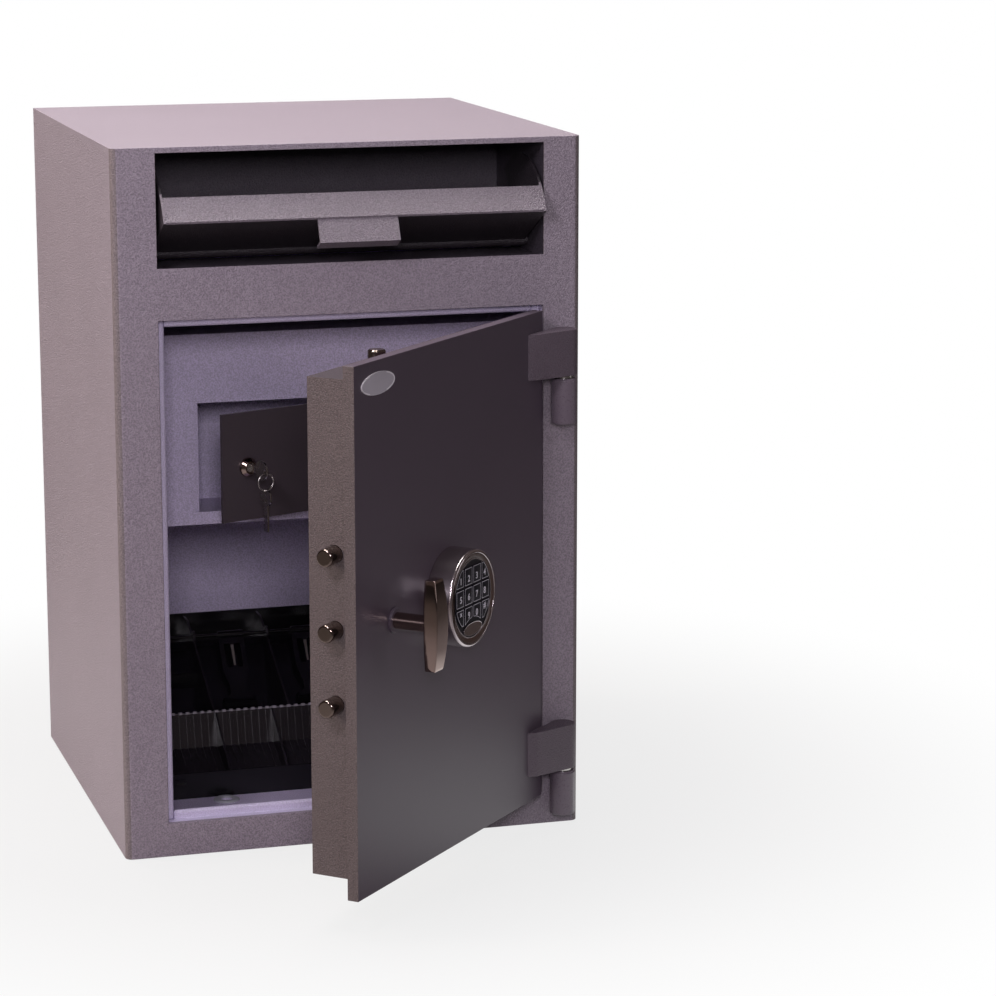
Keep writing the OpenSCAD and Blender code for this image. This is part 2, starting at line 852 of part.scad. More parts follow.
module keypad_key(i) {
    front = keypad_h - face_drop + key_rise;
    color(dark_plastic) on_door() translate([pad_x, y_front - front + key_t, pad_z]) rotate([90, 0, 0])
        linear_extrude(key_t) key_outline(i, 0);
}

module recess_sides() {
    color(paint_grey) for (x = [open_x0 - recess_t, open_x1]) difference() {
        block([x, y_front + plate_t, floor_top - recess_t],
              [x + recess_t, y_front + recess_d + recess_t, slot_z1]);
        rod_x(pin_y, pin_z, stub_r + run_gap, x - eps, x + recess_t + eps);
    }
}

module recess_back() {
    color(inner_grey)
        block([open_x0, y_front + recess_d, baffle_z0], [open_x1, y_front + recess_d + recess_t, slot_z1]);
}

// The recess's floor, and the chute that leads over the locker to the back
module drop_chute() {
    y0 = floor_end;
    z0 = floor_top - recess_t;
    y1 = lock_back + 5;
    z1 = locker_top + 5;
    color(inner_grey) {
        block([open_x0, y_front + plate_t, z0], [open_x1, y0, floor_top]);
        along_x(in_left, in_right)
            polygon([[y0, z0], [y1, z1], [y1, z1 - chute_t], [y0 - 18, z0 - chute_t], [y0 - 18, z0]]);
    }
}

// The drawer's sheet: front panel, top flange, pivot tube and back plate
module drawer_section() {
    t = sheet_t;
    flange_a = -9;
    tip = [0, drawer_r];
    translate([-t / 2, 0]) square([t, drawer_r - t]);
    translate(tip) rotate(flange_a) translate([0, -t]) square([flange_l, t]);
    translate([0, drawer_r - t]) circle(t / 2);
    polygon([[-t / 2, drawer_r - t], [0, drawer_r], [t, drawer_r - t], [t / 2, drawer_r - 2 * t]]);
    rotate(pocket_angle) translate([0, -t / 2]) square([pocket_l, t]);
    circle(boss_r);
}

module drawer_pan() {
    color(paint_grey) on_drawer() along_x(cheek_x0 + sheet_t, cheek_x1 - sheet_t) drawer_section();
}

// Each cheek is a quarter round with its pivot stub
module drawer_cheeks() {
    color(paint_grey) on_drawer() for (side = [0, 1]) {
        x = side == 0 ? cheek_x0 : cheek_x1 - sheet_t;
        along_x(x, x + sheet_t) {
            intersection() {
                circle(drawer_r, $fn = 128);
                polygon([[0, 0], [-sheet_t / 2, 0], [-sheet_t / 2, drawer_r + 1],
                         [drawer_r + 1, drawer_r + 1],
                         [drawer_r + 1, (drawer_r + 1) * tan(pocket_angle)]]);
            }
            circle(boss_r);
        }
        if (side == 0) rod_x(0, 0, stub_r, open_x0 - recess_t - 3, cheek_x0 + eps);
        else rod_x(0, 0, stub_r, cheek_x1 - eps, open_x1 + recess_t + 3);
    }
}

module drawer_pull() {
    t = 3;
    top = drawer_r - 1.5;
    color(paint_grey) on_drawer() along_x(open_mid - pull_w / 2, open_mid + pull_w / 2) {
        translate([-pull_d, top - t]) square([pull_d - sheet_t / 2, t]);
        translate([-pull_d, top - pull_h]) square([t, pull_h]);
    }
}

module locker_body() {
    t = locker_sheet;
    color(inner_grey) difference() {
        block([in_left, lock_front + locker_t, locker_z], [in_right, lock_back, locker_top]);
        block([in_left + t, lock_front, locker_z + t], [in_right - t, lock_back - t, locker_top - t]);
    }
}

module locker_front() {
    lip = 4.5;
    color(inner_grey) difference() {
        union() {
            block([in_left, lock_front, locker_z], [in_right, lock_front + locker_t, locker_top]);
            block([lo_x0 - 6, lock_front + locker_t - eps, lo_z0 - 5],
                  [lo_x0 + lip, lock_front + locker_t + 2, lo_z1 + 5]);
        }
        block([lo_x0, lock_front - eps, lo_z0], [lo_x1, lock_front + locker_t, lo_z1]);
        translate([lpin_x, lpin_y, lo_z0 - lpin_l / 2])
            cylinder(r = lpin_r + 0.02, h = lo_z1 - lo_z0 + lpin_l);
    }
}

module locker_pins() {
    color(bright_steel) for (z = [lo_z0 - lpin_l / 2, lo_z1 - lpin_l / 2])
        translate([lpin_x, lpin_y, z]) cylinder(r = lpin_r, h = lpin_l);
}

module locker_door() {
    x0 = lo_x0 + lo_gap;
    z0 = lo_z0 + lo_gap;
    z1 = lo_z1 - lo_gap;
    color(inner_grey) on_locker_door() difference() {
        union() {
            block([x0, lock_front, z0], [lpin_x, lock_front + locker_t, z1]);
            translate([lpin_x, lpin_y, z0]) cylinder(r = locker_t / 2, h = z1 - z0);
        }
        for (z = [z0 - eps, z1 + eps - lpin_l])
            translate([lpin_x, lpin_y, z]) cylinder(r = lpin_r + run_gap, h = lpin_l);
        rod_y(llock_x, llock_z, llock_r + 0.02, lock_front - eps, lock_front + locker_t + eps);
    }
}

module locker_lock() {
    y0 = lock_front;
    color(chrome) on_locker_door() difference() {
        union() {
            rod_y(llock_x, llock_z, llock_r, y0 - 1, y0 + locker_t + llock_len);
            translate([llock_x, y0, llock_z]) rotate([90, 0, 0]) {
                cylinder(r = llock_head_r, h = 3);
                translate([0, 0, 3]) cylinder(r1 = llock_head_r, r2 = llock_head_r - 3.5, h = llock_head - 3);
            }
        }
        rod_y(llock_x, llock_z, 5.05, y0 - llock_head - eps, y0 + locker_t + llock_len + eps);
    }
}

// The plug turns in the lock with its key, whose bow stands upright
module locker_key() {
    y0 = lock_front - llock_head;
    color(bright_steel) on_locker_door() {
        rod_y(llock_x, llock_z, 5, y0 + 0.5, lock_front + locker_t + llock_len);
        along_x(llock_x - bow_t / 2, llock_x + bow_t / 2) difference() {
            union() {
                translate([y0 - 8, llock_z - 4]) square([10, 8]);
                translate([lock_front - bow_out + bow_w / 2, llock_z]) circle(bow_w / 2);
            }
            translate([lock_front - bow_hole_y, llock_z]) circle(bow_hole_r);
        }
    }
}

// The tongue hangs down in the unlocked lock
module lock_tongue() {
    y0 = lock_front + locker_t + llock_len;
    color(steel) on_locker_door() along_y(y0, y0 + tongue_t)
        slot2d([llock_x, llock_z], [llock_x, llock_z - tongue_l + 7], 7);
}

// A split ring through the bow with a second key on it
module spare_key() {
    ring_z = llock_z - bow_hole_r + wire_r + hang_gap - ring_r;
    y = lock_front - bow_hole_y;
    key_z = ring_z - ring_r - 2 + wire_r - hang_gap;
    color(bright_steel) on_locker_door() {
        translate([llock_x, y, ring_z]) rotate([90, 0, 0]) rotate_extrude($fn = 48)
            translate([ring_r, 0]) circle(wire_r, $fn = 16);
        along_x(llock_x - bow_t / 2, llock_x + bow_t / 2) difference() {
            union() {
                translate([y, key_z + 3.5 - spare_bow_r]) circle(spare_bow_r);
                translate([y - blade_w / 2, key_z - blade_drop]) square([blade_w, blade_l]);
            }
            translate([y, key_z]) circle(2);
            for (n = [0:4])
                translate([y + blade_w / 2 - 1.2 - (n % 2) * 0.8, key_z - blade_drop + 3 + n * tooth_pitch])
                    square([3, tooth_w]);
        }
    }
}

// Side outline of the tray between its floor line and its top line
module tray_side() {
    polygon([[tray_y0, tray_z0], [tray_y0, tray_z0 + tray_front_h], [note_y0, tray_z0 + tray_mid_h],
             [tray_y1 - wall_knee, tray_z0 + tray_back_h], [tray_y1, tray_z0 + tray_back_h],
             [tray_y1, tray_z0]]);
    translate([rod_pos_y, rod_pos_z]) circle(rod_ear_r);
}

// The bed of the notes, flat behind the step and then steep up to the back
module bed_section() {
    t = tray_t;
    back = t * tan(bed_angle / 2);
    polygon([[note_y0, bed_z], [bed_y, bed_z], [bed_head_y, bed_head_z], [tray_y1, bed_head_z],
             [tray_y1, bed_head_z - t], [bed_head_y + back, bed_head_z - t], [bed_y + back, bed_z - t],
             [note_y0, bed_z - t]]);
}

module cash_tray() {
    t = tray_t;
    z0 = tray_z0;
    ledge_foot = bed_z + (ledge_y - bed_y) * tan(bed_angle) - 1;
    color(black_plastic) {
        for (x = [tray_x0, tray_x1 - t]) along_x(x, x + t) tray_side();
        along_x(tray_x0 + t - 0.01, tray_x1 - t + 0.01) {
            translate([tray_y0, z0]) square([t, tray_front_h]);
            translate([tray_y0, z0 + coin_floor - t]) square([coin_d + t, t]);
            translate([note_y0, z0 + coin_floor - t]) square([t, tray_mid_h - coin_floor + t]);
            bed_section();
            translate([tray_y1 - t, z0]) square([t, tray_back_h]);
        }
        block([tray_x0 + t - 0.01, ledge_y, ledge_foot], [first_wall, ledge_y + t, ledge_z]);
    }
}

// The walls between the note compartments, each with an ear for the rod
module note_dividers() {
    t = tray_t;
    y0 = note_y0 + t;
    y1 = tray_y1 - t;
    color(black_plastic) for (k = [0:note_n - 1]) {
        x = first_wall + k * note_pitch;
        along_x(x, x + t) difference() {
            union() {
                polygon([[y0, bed_z], [bed_y, bed_z], [bed_head_y, bed_head_z], [y1, bed_head_z],
                         [y1, tray_z0 + tray_back_h - 2], [tray_y1 - wall_knee, tray_z0 + tray_back_h - 2],
                         [y0, tray_z0 + tray_mid_h]]);
                translate([rod_pos_y, rod_pos_z]) circle(rod_ear_r);
            }
            translate([rod_pos_y, rod_pos_z]) circle(rod_r + 0.2);
        }
    }
}

// Outline of the coin cups' sheet: it rises gently to a kink and then steeply to its rim
module scoop_section() {
    y0 = tray_y0 + tray_t + cup_gap;
    y1 = note_y0 - cup_gap;
    z0 = tray_z0 + coin_floor;
    kink = [y1 - scoop_back, tray_z0 + scoop_kink];
    rim = [y1 - scoop_top, tray_z0 + tray_mid_h + 1];
    polygon([[y0, z0], [y0, z0 + scoop_lip], kink, rim, [y1, rim.y], [y1, rim.y - scoop_t],
             rim + [scoop_t - 0.5, -scoop_t], kink + [scoop_t, -0.5], [kink.x + scoop_t, z0],
             [kink.x, z0], kink - [0, scoop_t + 0.5], [y0 + 2, z0]]);
}

// The same for a rib, which stands out of the sheet and a little over its rim
module rib_section() {
    y0 = tray_y0 + tray_t + cup_gap;
    y1 = note_y0 - cup_gap;
    z0 = tray_z0 + coin_floor;
    kink = [y1 - scoop_back, tray_z0 + scoop_kink];
    rim = [y1 - scoop_top, tray_z0 + tray_mid_h + 1];
    polygon([[y0, z0 + 1], [y0, z0 + scoop_lip + rib_rise], kink + [-rib_rise, rib_rise],
             rim + [-rib_rise, 2], rim + [1, 2], rim + [1, -1], kink + [1, -1]]);
}

// The coin cups: partitions on a folded sheet with upright ribs
module coin_cups() {
    t = 2;
    x0 = tray_x0 + tray_t + cup_gap;
    x1 = tray_x1 - tray_t - cup_gap;
    y0 = tray_y0 + tray_t + cup_gap;
    y1 = note_y0 - cup_gap;
    z0 = tray_z0 + coin_floor;
    ribs = floor((x1 - x0) / rib_p);
    color(dark_plastic) {
        along_x(x0, x1) scoop_section();
        for (n = [0:ribs - 1]) {
            x = (x0 + x1) / 2 + (n - (ribs - 1) / 2) * rib_p;
            along_x(x - rib_p / 4, x + rib_p / 4) rib_section();
        }
        for (k = [1:coin_n - 1]) {
            x = tray_x0 + tray_t + k * cup_pitch;
            along_x(x - t / 2, x + t / 2) polygon([[y0, z0], [y0, tray_z0 + tray_front_h - 1],
                [y1 - 2, tray_z0 + tray_mid_h + 2], [y1, tray_z0 + tray_mid_h + 2], [y1, z0]]);
        }
    }
}

module clip_rod() {
    color(steel) rod_x(rod_pos_y, rod_pos_z, rod_r, tray_x0 + tray_t, tray_x1 - tray_t);
}

// Outline of a clip's arm from the rod to its foot, with a waist before the foot
module clip_outline() {
    near = 0.7 - clip_hub_r;
    side = [[clip_w / 2, near], [clip_w / 2, -window_far - 4], [waist_w / 2, waist_from - clip_l],
            [waist_w / 2, waist_to - clip_l], [foot_w / 2, flare - clip_l], [foot_w / 2, -clip_l]];
    polygon(concat(side, [for (k = [5:-1:0]) [-side[k].x, side[k].y]]));
}

// A clip hangs on the rod and holds the notes down on the bed with its foot. It is
// drawn along the bed, from where the bed starts to rise
module note_clip(k) {
    x = first_wall + (k + 0.5) * note_pitch + tray_t / 2;
    tilt = atan2(rod_n - 4, clip_l);
    color(black_plastic) translate([x, bed_y, bed_z]) rotate([bed_angle, 0, 0]) difference() {
        union() {
            rod_x(rod_u, rod_n, clip_hub_r, -clip_w / 2, clip_w / 2);
            translate([0, rod_u, rod_n]) rotate([tilt, 0, 0])
                translate([0, 0, -clip_t / 2]) linear_extrude(clip_t) clip_outline();
            along_x(-foot_w / 2 - 1, foot_w / 2 + 1)
                polygon([[foot_u, clip_rest], [foot_u, foot_t - 0.5], [foot_u + 4, foot_t + 2.5],
                         [foot_u + foot_l, foot_t], [foot_u + foot_l, clip_rest]]);
        }
        rod_x(rod_u, rod_n, rod_r + 0.06, -clip_w, clip_w);
        for (side = [-clip_bar / 2 - clip_slot, clip_bar / 2])
            translate([0, rod_u, rod_n]) rotate([tilt, 0, 0])
                block([side, -window_far, -8], [side + clip_slot, -window_near, 8]);
    }
}

front_frame();
side_plates();
top_plate();
base_plate();
back_plate();
stop_uprights();
stop_rails();
hinge_barrels();
hinge_pins();
recess_sides();
recess_back();
drop_chute();
locker_body();
locker_front();
locker_pins();
anchor_washers();
cash_tray();
coin_cups();
note_dividers();
clip_rod();
drawer_pan();
drawer_cheeks();
drawer_pull();
door_plate();
bolt_cover();
hinge_blocks();
bolt_posts();
lock_case();
keypad_housing();
keypad_face();
handle_collar();
handle_bar();
handle_spindle();
drive_cam();
bolt_carriage();
side_bolts();
top_bolt();
lock_latch();
locker_door();
locker_lock();
locker_key();
lock_tongue();
spare_key();
for (k = [0:note_n - 1]) note_clip(k);
for (k = [0:11]) keypad_key(k);
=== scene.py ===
# %% [markdown]
# # A drop safe with a deposit drawer
# This notebook dresses a finished construction model of a safe. The model
# arrives as closed solids, one for each real piece, and stays the fixed frame.
# Each visible piece then gets the soft edges, the finish and the small parts
# that the real product has. All sizes are metres, Z is up, and the safe's
# front looks towards -Y.

import json
import math

import bmesh
import bpy
from mathutils import Matrix, Vector


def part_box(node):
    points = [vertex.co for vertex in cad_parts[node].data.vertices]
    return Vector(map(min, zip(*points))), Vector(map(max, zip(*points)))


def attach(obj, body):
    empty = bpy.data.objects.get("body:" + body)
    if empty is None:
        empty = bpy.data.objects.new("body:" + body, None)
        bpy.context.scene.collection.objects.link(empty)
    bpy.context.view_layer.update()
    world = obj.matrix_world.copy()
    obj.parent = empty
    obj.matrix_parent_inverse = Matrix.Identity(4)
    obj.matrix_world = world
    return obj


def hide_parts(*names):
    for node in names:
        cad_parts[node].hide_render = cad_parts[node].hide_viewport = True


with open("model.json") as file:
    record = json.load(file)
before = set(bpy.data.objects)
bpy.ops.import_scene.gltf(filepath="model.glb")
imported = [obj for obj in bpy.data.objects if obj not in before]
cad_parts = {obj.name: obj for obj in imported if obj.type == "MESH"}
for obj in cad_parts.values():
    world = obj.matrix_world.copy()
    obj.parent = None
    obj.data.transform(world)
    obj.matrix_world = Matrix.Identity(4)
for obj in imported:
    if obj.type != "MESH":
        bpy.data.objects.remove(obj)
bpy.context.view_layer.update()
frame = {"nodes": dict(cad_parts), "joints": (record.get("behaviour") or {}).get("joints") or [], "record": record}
nodes = frame["nodes"]
record = frame["record"]
body_of_node = {n: b for b, names in record["behaviour"]["bodies"].items() for n in names}
mm = 0.001
print("pieces in the frame:", len(nodes))

# %% [markdown]
# ## The camera
# The photograph looks down on the safe from the front left, from about three
# and a half metres away. A long lens keeps the perspective as flat as it is
# in the picture, and the safe stands left of the middle. The camera is turned
# towards the middle of the picture, so it needs no lens shift, and it frames
# the safe well from any other side too.

# %% Camera
camera_place = (-0.8276, -3.5404, 1.0756)
camera_turn = 16.69
camera_dip = 11.67
camera_lens = 118.8
camera_data = bpy.data.cameras.new("camera")
camera = bpy.data.objects.new("camera", camera_data)
bpy.context.scene.collection.objects.link(camera)
camera.location = camera_place
camera.rotation_euler = (math.radians(90 - camera_dip), 0, -math.radians(camera_turn))
camera_data.lens = camera_lens
camera_data.sensor_width = 36
bpy.context.scene.camera = camera
print("camera at", tuple(camera.location))

# %% [markdown]
# ## Working out where the door stands
# The door is open in the photograph. Its joint says where the hinge is and how
# far the door can still close, which is how far it is open. With both, a point
# that is measured on the closed door can be moved to where the open door has
# it. The closed door's outside lies in the plane of the body's front.

# %% Door placement
joints = {j["name"]: j for j in frame["joints"]}
hinge = Vector(joints["door_swing"]["pos_m"])
door_angle = -math.radians(joints["door_swing"]["range_deg"][0])
front_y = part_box("front_frame")[0].y
hinge_matrix = (
    Matrix.Translation((hinge.x, hinge.y, 0))
    @ Matrix.Rotation(door_angle, 4, "Z")
    @ Matrix.Translation((-hinge.x, -hinge.y, 0))
)
closed_door = hinge_matrix.inverted()
door_out = (hinge_matrix.to_3x3() @ Vector((0, -1, 0))).normalized()
stand_upright = Matrix.Rotation(math.pi / 2, 4, "X")


def on_door(x, out, z):
    """Where things face outwards on the open door, given a place on the closed one."""
    return hinge_matrix @ Matrix.Translation((x, front_y - out, z)) @ stand_upright


def closed_centre(node):
    """A node's centre, measured as if the door were closed."""
    low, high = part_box(node)
    return closed_door @ ((low + high) / 2)


def closed_box(node):
    """The low and high corner of a node's box, measured as if the door were closed."""
    points = [closed_door @ v.co for v in nodes[node].data.vertices]
    low = Vector([min(p[axis] for p in points) for axis in range(3)])
    high = Vector([max(p[axis] for p in points) for axis in range(3)])
    return low, high


keypad_centre = closed_centre("keypad_housing")
print("keypad at", [round(v, 4) for v in keypad_centre])
print("door open by", round(math.degrees(door_angle), 1), "degrees")

# %% [markdown]
# ## Helpers for selecting and finishing
# Blender's operators act on what is selected. These helpers select one object,
# run an operator in edit mode, and hand a finished piece over: what it is
# called, which body carries it and which finish it takes.


# %% Helpers
same_point = 0.002 * mm
same_point_after_weld = 0.005 * mm
same_plane = math.radians(0.4)
bevelled_from = math.radians(30)
smooth_up_to = math.radians(32)


def only(*objects):
    """Selects these objects and nothing else, and makes the first one active."""
    if bpy.context.object and bpy.context.object.mode != "OBJECT":
        bpy.ops.object.mode_set(mode="OBJECT")
    bpy.ops.object.select_all(action="DESELECT")
    for o in objects:
        o.hide_viewport = False
        o.select_set(True)
    bpy.context.view_layer.objects.active = objects[0]


def edit(obj, select="SELECT"):
    """Opens an object in edit mode with everything or nothing selected."""
    only(obj)
    bpy.ops.object.mode_set(mode="EDIT")
    bpy.ops.mesh.select_mode(type="FACE")
    bpy.ops.mesh.select_all(action=select)


def select_faces(obj, wanted):
    """Selects the faces of an object in edit mode for which wanted(face) is true."""
    mesh = bmesh.from_edit_mesh(obj.data)
    for face in mesh.faces:
        face.select_set(wanted(face))
    bmesh.update_edit_mesh(obj.data)


def leave_edit():
    """Goes back from edit mode to object mode."""
    bpy.ops.object.mode_set(mode="OBJECT")


def settle(obj):
    """Applies the object's place, so that it sits at the origin with its place in its mesh."""
    only(obj)
    bpy.ops.object.transform_apply(location=True, rotation=True, scale=True)


def place(obj, matrix):
    """Moves an object to its place on the safe and applies that place."""
    obj.matrix_world = matrix
    settle(obj)


def add_block(size, location=(0, 0, 0)):
    """A box of the given size, standing round its location."""
    bpy.ops.object.select_all(action="DESELECT")
    bpy.ops.mesh.primitive_cube_add(size=1, location=location)
    block = bpy.context.object
    block.scale = size
    settle(block)
    return block


def apply_all(obj):
    """Applies each modifier from the first to the last."""
    only(obj)
    for modifier in list(obj.modifiers):
        bpy.ops.object.modifier_apply(modifier=modifier.name)


def soften(obj, width, segments=2):
    """Rounds the sharp edges by a bevel, as paint and handling do, and shades the result."""
    bevel = obj.modifiers.new("edges", "BEVEL")
    bevel.width = width
    bevel.segments = segments
    bevel.limit_method = "ANGLE"
    bevel.angle_limit = bevelled_from
    bevel.use_clamp_overlap = True
    apply_all(obj)
    only(obj)
    bpy.ops.object.shade_smooth_by_angle(angle=smooth_up_to)
    flat = obj.modifiers.new("flat_faces", "WEIGHTED_NORMAL")
    flat.keep_sharp = True
    flat.weight = 100
    apply_all(obj)


def paint(obj, finishes, number_of):
    """Gives an object several finishes, and each face the one that number_of(face) names."""
    obj.data.materials.clear()
    for finish in finishes:
        obj.data.materials.append(finish)
    for face in obj.data.polygons:
        face.material_index = int(number_of(face))


def hand_over(obj, name, body, material=None, replaces=()):
    """Names a finished piece, gives it its material and ties it to its body."""
    obj.name = name
    obj.data.name = name
    if material is not None:
        obj.data.materials.clear()
        obj.data.materials.append(material)
    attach(obj, body)
    if replaces:
        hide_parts(*replaces)
    return obj


def merged_copy(node):
    """A copy of a node's mesh with its loose triangles joined into clean faces."""
    source = nodes[node]
    copy = bpy.data.objects.new(node + "_copy", source.data.copy())
    bpy.context.scene.collection.objects.link(copy)
    edit(copy)
    bpy.ops.mesh.remove_doubles(threshold=same_point)
    bpy.ops.mesh.customdata_custom_splitnormals_clear()
    bpy.ops.mesh.select_all(action="SELECT")
    bpy.ops.mesh.dissolve_limited(angle_limit=same_plane)
    leave_edit()
    return copy


def fuse(first, others):
    """Joins solids that touch into one, as a weld that is ground flush does."""
    for other in others:
        union = first.modifiers.new("weld", "BOOLEAN")
        union.operation = "UNION"
        union.solver = "EXACT"
        union.object = other
        apply_all(first)
        bpy.data.objects.remove(other)
    edit(first)
    bpy.ops.mesh.remove_doubles(threshold=same_point_after_weld)
    bpy.ops.mesh.dissolve_limited(angle_limit=same_plane)
    leave_edit()
    return first


print("helpers ready")

# %% [markdown]
# ## Powder coat
# The safe is sprayed with a textured powder coat. It bakes into a skin of tiny
# bumps, two or three millimetres across, that catch the light as pale specks
# on a mauve grey ground. Two noises make it: a fine one gives the bumps and
# the speckle, and a broad one gives the slight cloudiness of a sprayed panel.
# The noises read Object coordinates, so the grain keeps its real size on every
# piece.


# %% Powder coat
def start_material(name):
    """A new node material, with its tree and its main shader."""
    material = bpy.data.materials.new(name)
    material.use_nodes = True
    tree = material.node_tree
    shader = tree.nodes["Principled BSDF"]
    return material, tree, shader


def add_noise(tree, size, detail=2.0, stretch=(1, 1, 1)):
    """A noise whose grains are about size metres across, on Object coordinates."""
    where = tree.nodes.new("ShaderNodeTexCoord")
    mapping = tree.nodes.new("ShaderNodeMapping")
    mapping.inputs["Scale"].default_value = stretch
    noise = tree.nodes.new("ShaderNodeTexNoise")
    noise.inputs["Scale"].default_value = 1 / size
    noise.inputs["Detail"].default_value = detail
    tree.links.new(where.outputs["Object"], mapping.inputs["Vector"])
    tree.links.new(mapping.outputs["Vector"], noise.inputs["Vector"])
    return noise


def add_range(tree, source, low, high, start=0.3, end=0.7):
    """Maps a noise's middle range to low and high."""
    spread = tree.nodes.new("ShaderNodeMapRange")
    spread.inputs["From Min"].default_value = start
    spread.inputs["From Max"].default_value = end
    spread.inputs["To Min"].default_value = low
    spread.inputs["To Max"].default_value = high
    tree.links.new(source, spread.inputs["Value"])
    return spread.outputs["Result"]


def add_mix(tree, factor, dark, light):
    """Mixes two colours, each a plain value or another node's output."""
    mix = tree.nodes.new("ShaderNodeMix")
    mix.data_type = "RGBA"
    tree.links.new(factor, mix.inputs["Factor"])
    for name, colour in (("A", dark), ("B", light)):
        socket = [s for s in mix.inputs if s.name == name and s.type == "RGBA"][0]
        if isinstance(colour, bpy.types.NodeSocket):
            tree.links.new(colour, socket)
        else:
            socket.default_value = (*colour, 1)
    return [s for s in mix.outputs if s.type == "RGBA"][0]


def add_bump(tree, shader, height, depth, strength=1.0, before=None):
    """Lets a height, in 0 to 1, raise the surface by depth metres."""
    bump = tree.nodes.new("ShaderNodeBump")
    bump.inputs["Strength"].default_value = strength
    bump.inputs["Distance"].default_value = depth
    tree.links.new(height, bump.inputs["Height"])
    if before is not None:
        tree.links.new(before, bump.inputs["Normal"])
    tree.links.new(bump.outputs["Normal"], shader.inputs["Normal"])
    return bump.outputs["Normal"]


def shade(colour, factor):
    """A colour made darker or lighter by a factor."""
    return tuple(min(1.0, c * factor) for c in colour)


cloud_size = 190 * mm
cloud_share = 0.22
cloud_shade = 0.8
speck_start, speck_end = 0.34, 0.66


def powder_coat(name, colour, grain=1.5 * mm, depth=1.2 * mm, speckle=0.3, rough=(0.28, 0.46)):
    """Textured paint: grain is the size of its bumps, speckle their contrast."""
    material, tree, shader = start_material(name)
    fine = add_noise(tree, grain, 3)
    broad = add_noise(tree, cloud_size, 2)
    speck = add_range(tree, fine.outputs["Fac"], 0, 1, speck_start, speck_end)
    specks = add_mix(tree, speck, shade(colour, 1 - speckle), shade(colour, 1 + speckle))
    clouding = add_range(tree, broad.outputs["Fac"], 0, cloud_share)
    cloud = add_mix(tree, clouding, specks, shade(colour, cloud_shade))
    tree.links.new(cloud, shader.inputs["Base Color"])
    tree.links.new(add_range(tree, fine.outputs["Fac"], *rough), shader.inputs["Roughness"])
    shader.inputs["Specular IOR Level"].default_value = 0.5
    add_bump(tree, shader, fine.outputs["Fac"], depth)
    return material


body_coat = powder_coat("body_coat", (0.3, 0.25, 0.295))
# The body's paint darkened: painted shade on the rounded bends beside the front.
bend_shadow_coat = powder_coat("bend_shadow_coat", (0.19, 0.155, 0.165))
# The body's paint darkened: painted shade on the drawer.
drawer_shaded_coat = powder_coat("drawer_shaded_coat", (0.19, 0.158, 0.186))
door_coat = powder_coat("door_coat", (0.078, 0.057, 0.078), grain=1.6 * mm, depth=0.06 * mm,
                        speckle=0.06, rough=(0.34, 0.42))
hinge_coat = powder_coat("hinge_coat", (0.11, 0.082, 0.105), speckle=0.15)
barrel_coat = powder_coat("barrel_coat", (0.17, 0.135, 0.165), grain=1.6 * mm, depth=0.06 * mm,
                          speckle=0.05, rough=(0.26, 0.34))
edge_coat = powder_coat("edge_coat", (0.114, 0.088, 0.088), speckle=0.28)
# The inside paint, bluer than the body's and about twice as pale; the extra paleness is painted light, standing in
# for light that reaches into the chamber.
inner_lit_coat = powder_coat("inner_lit_coat", (0.68, 0.6, 0.81), speckle=0.22)
# As pale as the inside paint: painted light and a painted highlight on the stop frame's rounded nose.
stop_highlight_coat = powder_coat("stop_highlight_coat", (0.7, 0.63, 0.83), speckle=0.12)
# Near black: painted shadow for the shadow line beside the bolt cover.
shadow_seam_coat = powder_coat("shadow_seam_coat", (0.02, 0.016, 0.016), speckle=0.1)
# A dark coat: painted shade inside the drawer's recess and chute, under the top plate.
recess_shadow_coat = powder_coat("recess_shadow_coat", (0.075, 0.062, 0.078), speckle=0.2)
# Near black: painted shadow on the drawer's underside and behind its nose.
painted_shadow_coat = powder_coat("painted_shadow_coat", (0.035, 0.028, 0.034), speckle=0.2)
# The small door's own dark paint; on the bolt cover's top it is painted shade.
locker_door_and_shadow_coat = powder_coat("locker_door_and_shadow_coat", (0.055, 0.043, 0.05), grain=1.4 * mm,
                               depth=0.04 * mm, speckle=0.05, rough=(0.3, 0.4))
print("powder coats:", [m.name for m in bpy.data.materials if m.name.endswith("coat")])

# %% [markdown]
# ## Metals
# Chrome on the handle and the bolts is almost a mirror, with a trace of haze.
# Its colour is darkened to a warm brown: a painted reflection of dark surroundings.
# Plated steel and the satin ring of the keypad are duller, and their surface
# has the fine lines of turning or brushing, which a stretched noise gives.


# %% Metals
patch_size = 20 * mm
patch_shade = 0.93


def metal(name, colour, rough, line=0.6 * mm, stretch=(1, 1, 1), depth=0.01 * mm, haze=0.05):
    """Bare or plated metal with faint patches, and bumps stretched into lines where asked."""
    material, tree, shader = start_material(name)
    lines = add_noise(tree, line, 2, stretch)
    patches = add_noise(tree, patch_size, 2).outputs["Fac"]
    tone = add_mix(tree, add_range(tree, patches, 0, 1), shade(colour, patch_shade), colour)
    tree.links.new(tone, shader.inputs["Base Color"])
    tree.links.new(add_range(tree, patches, rough, rough + haze), shader.inputs["Roughness"])
    shader.inputs["Metallic"].default_value = 1
    add_bump(tree, shader, lines.outputs["Fac"], depth)
    return material


# Darkened warm brown: a painted reflection of dark surroundings.
chrome = metal("chrome", (0.36, 0.275, 0.25), 0.05, depth=0.002 * mm)
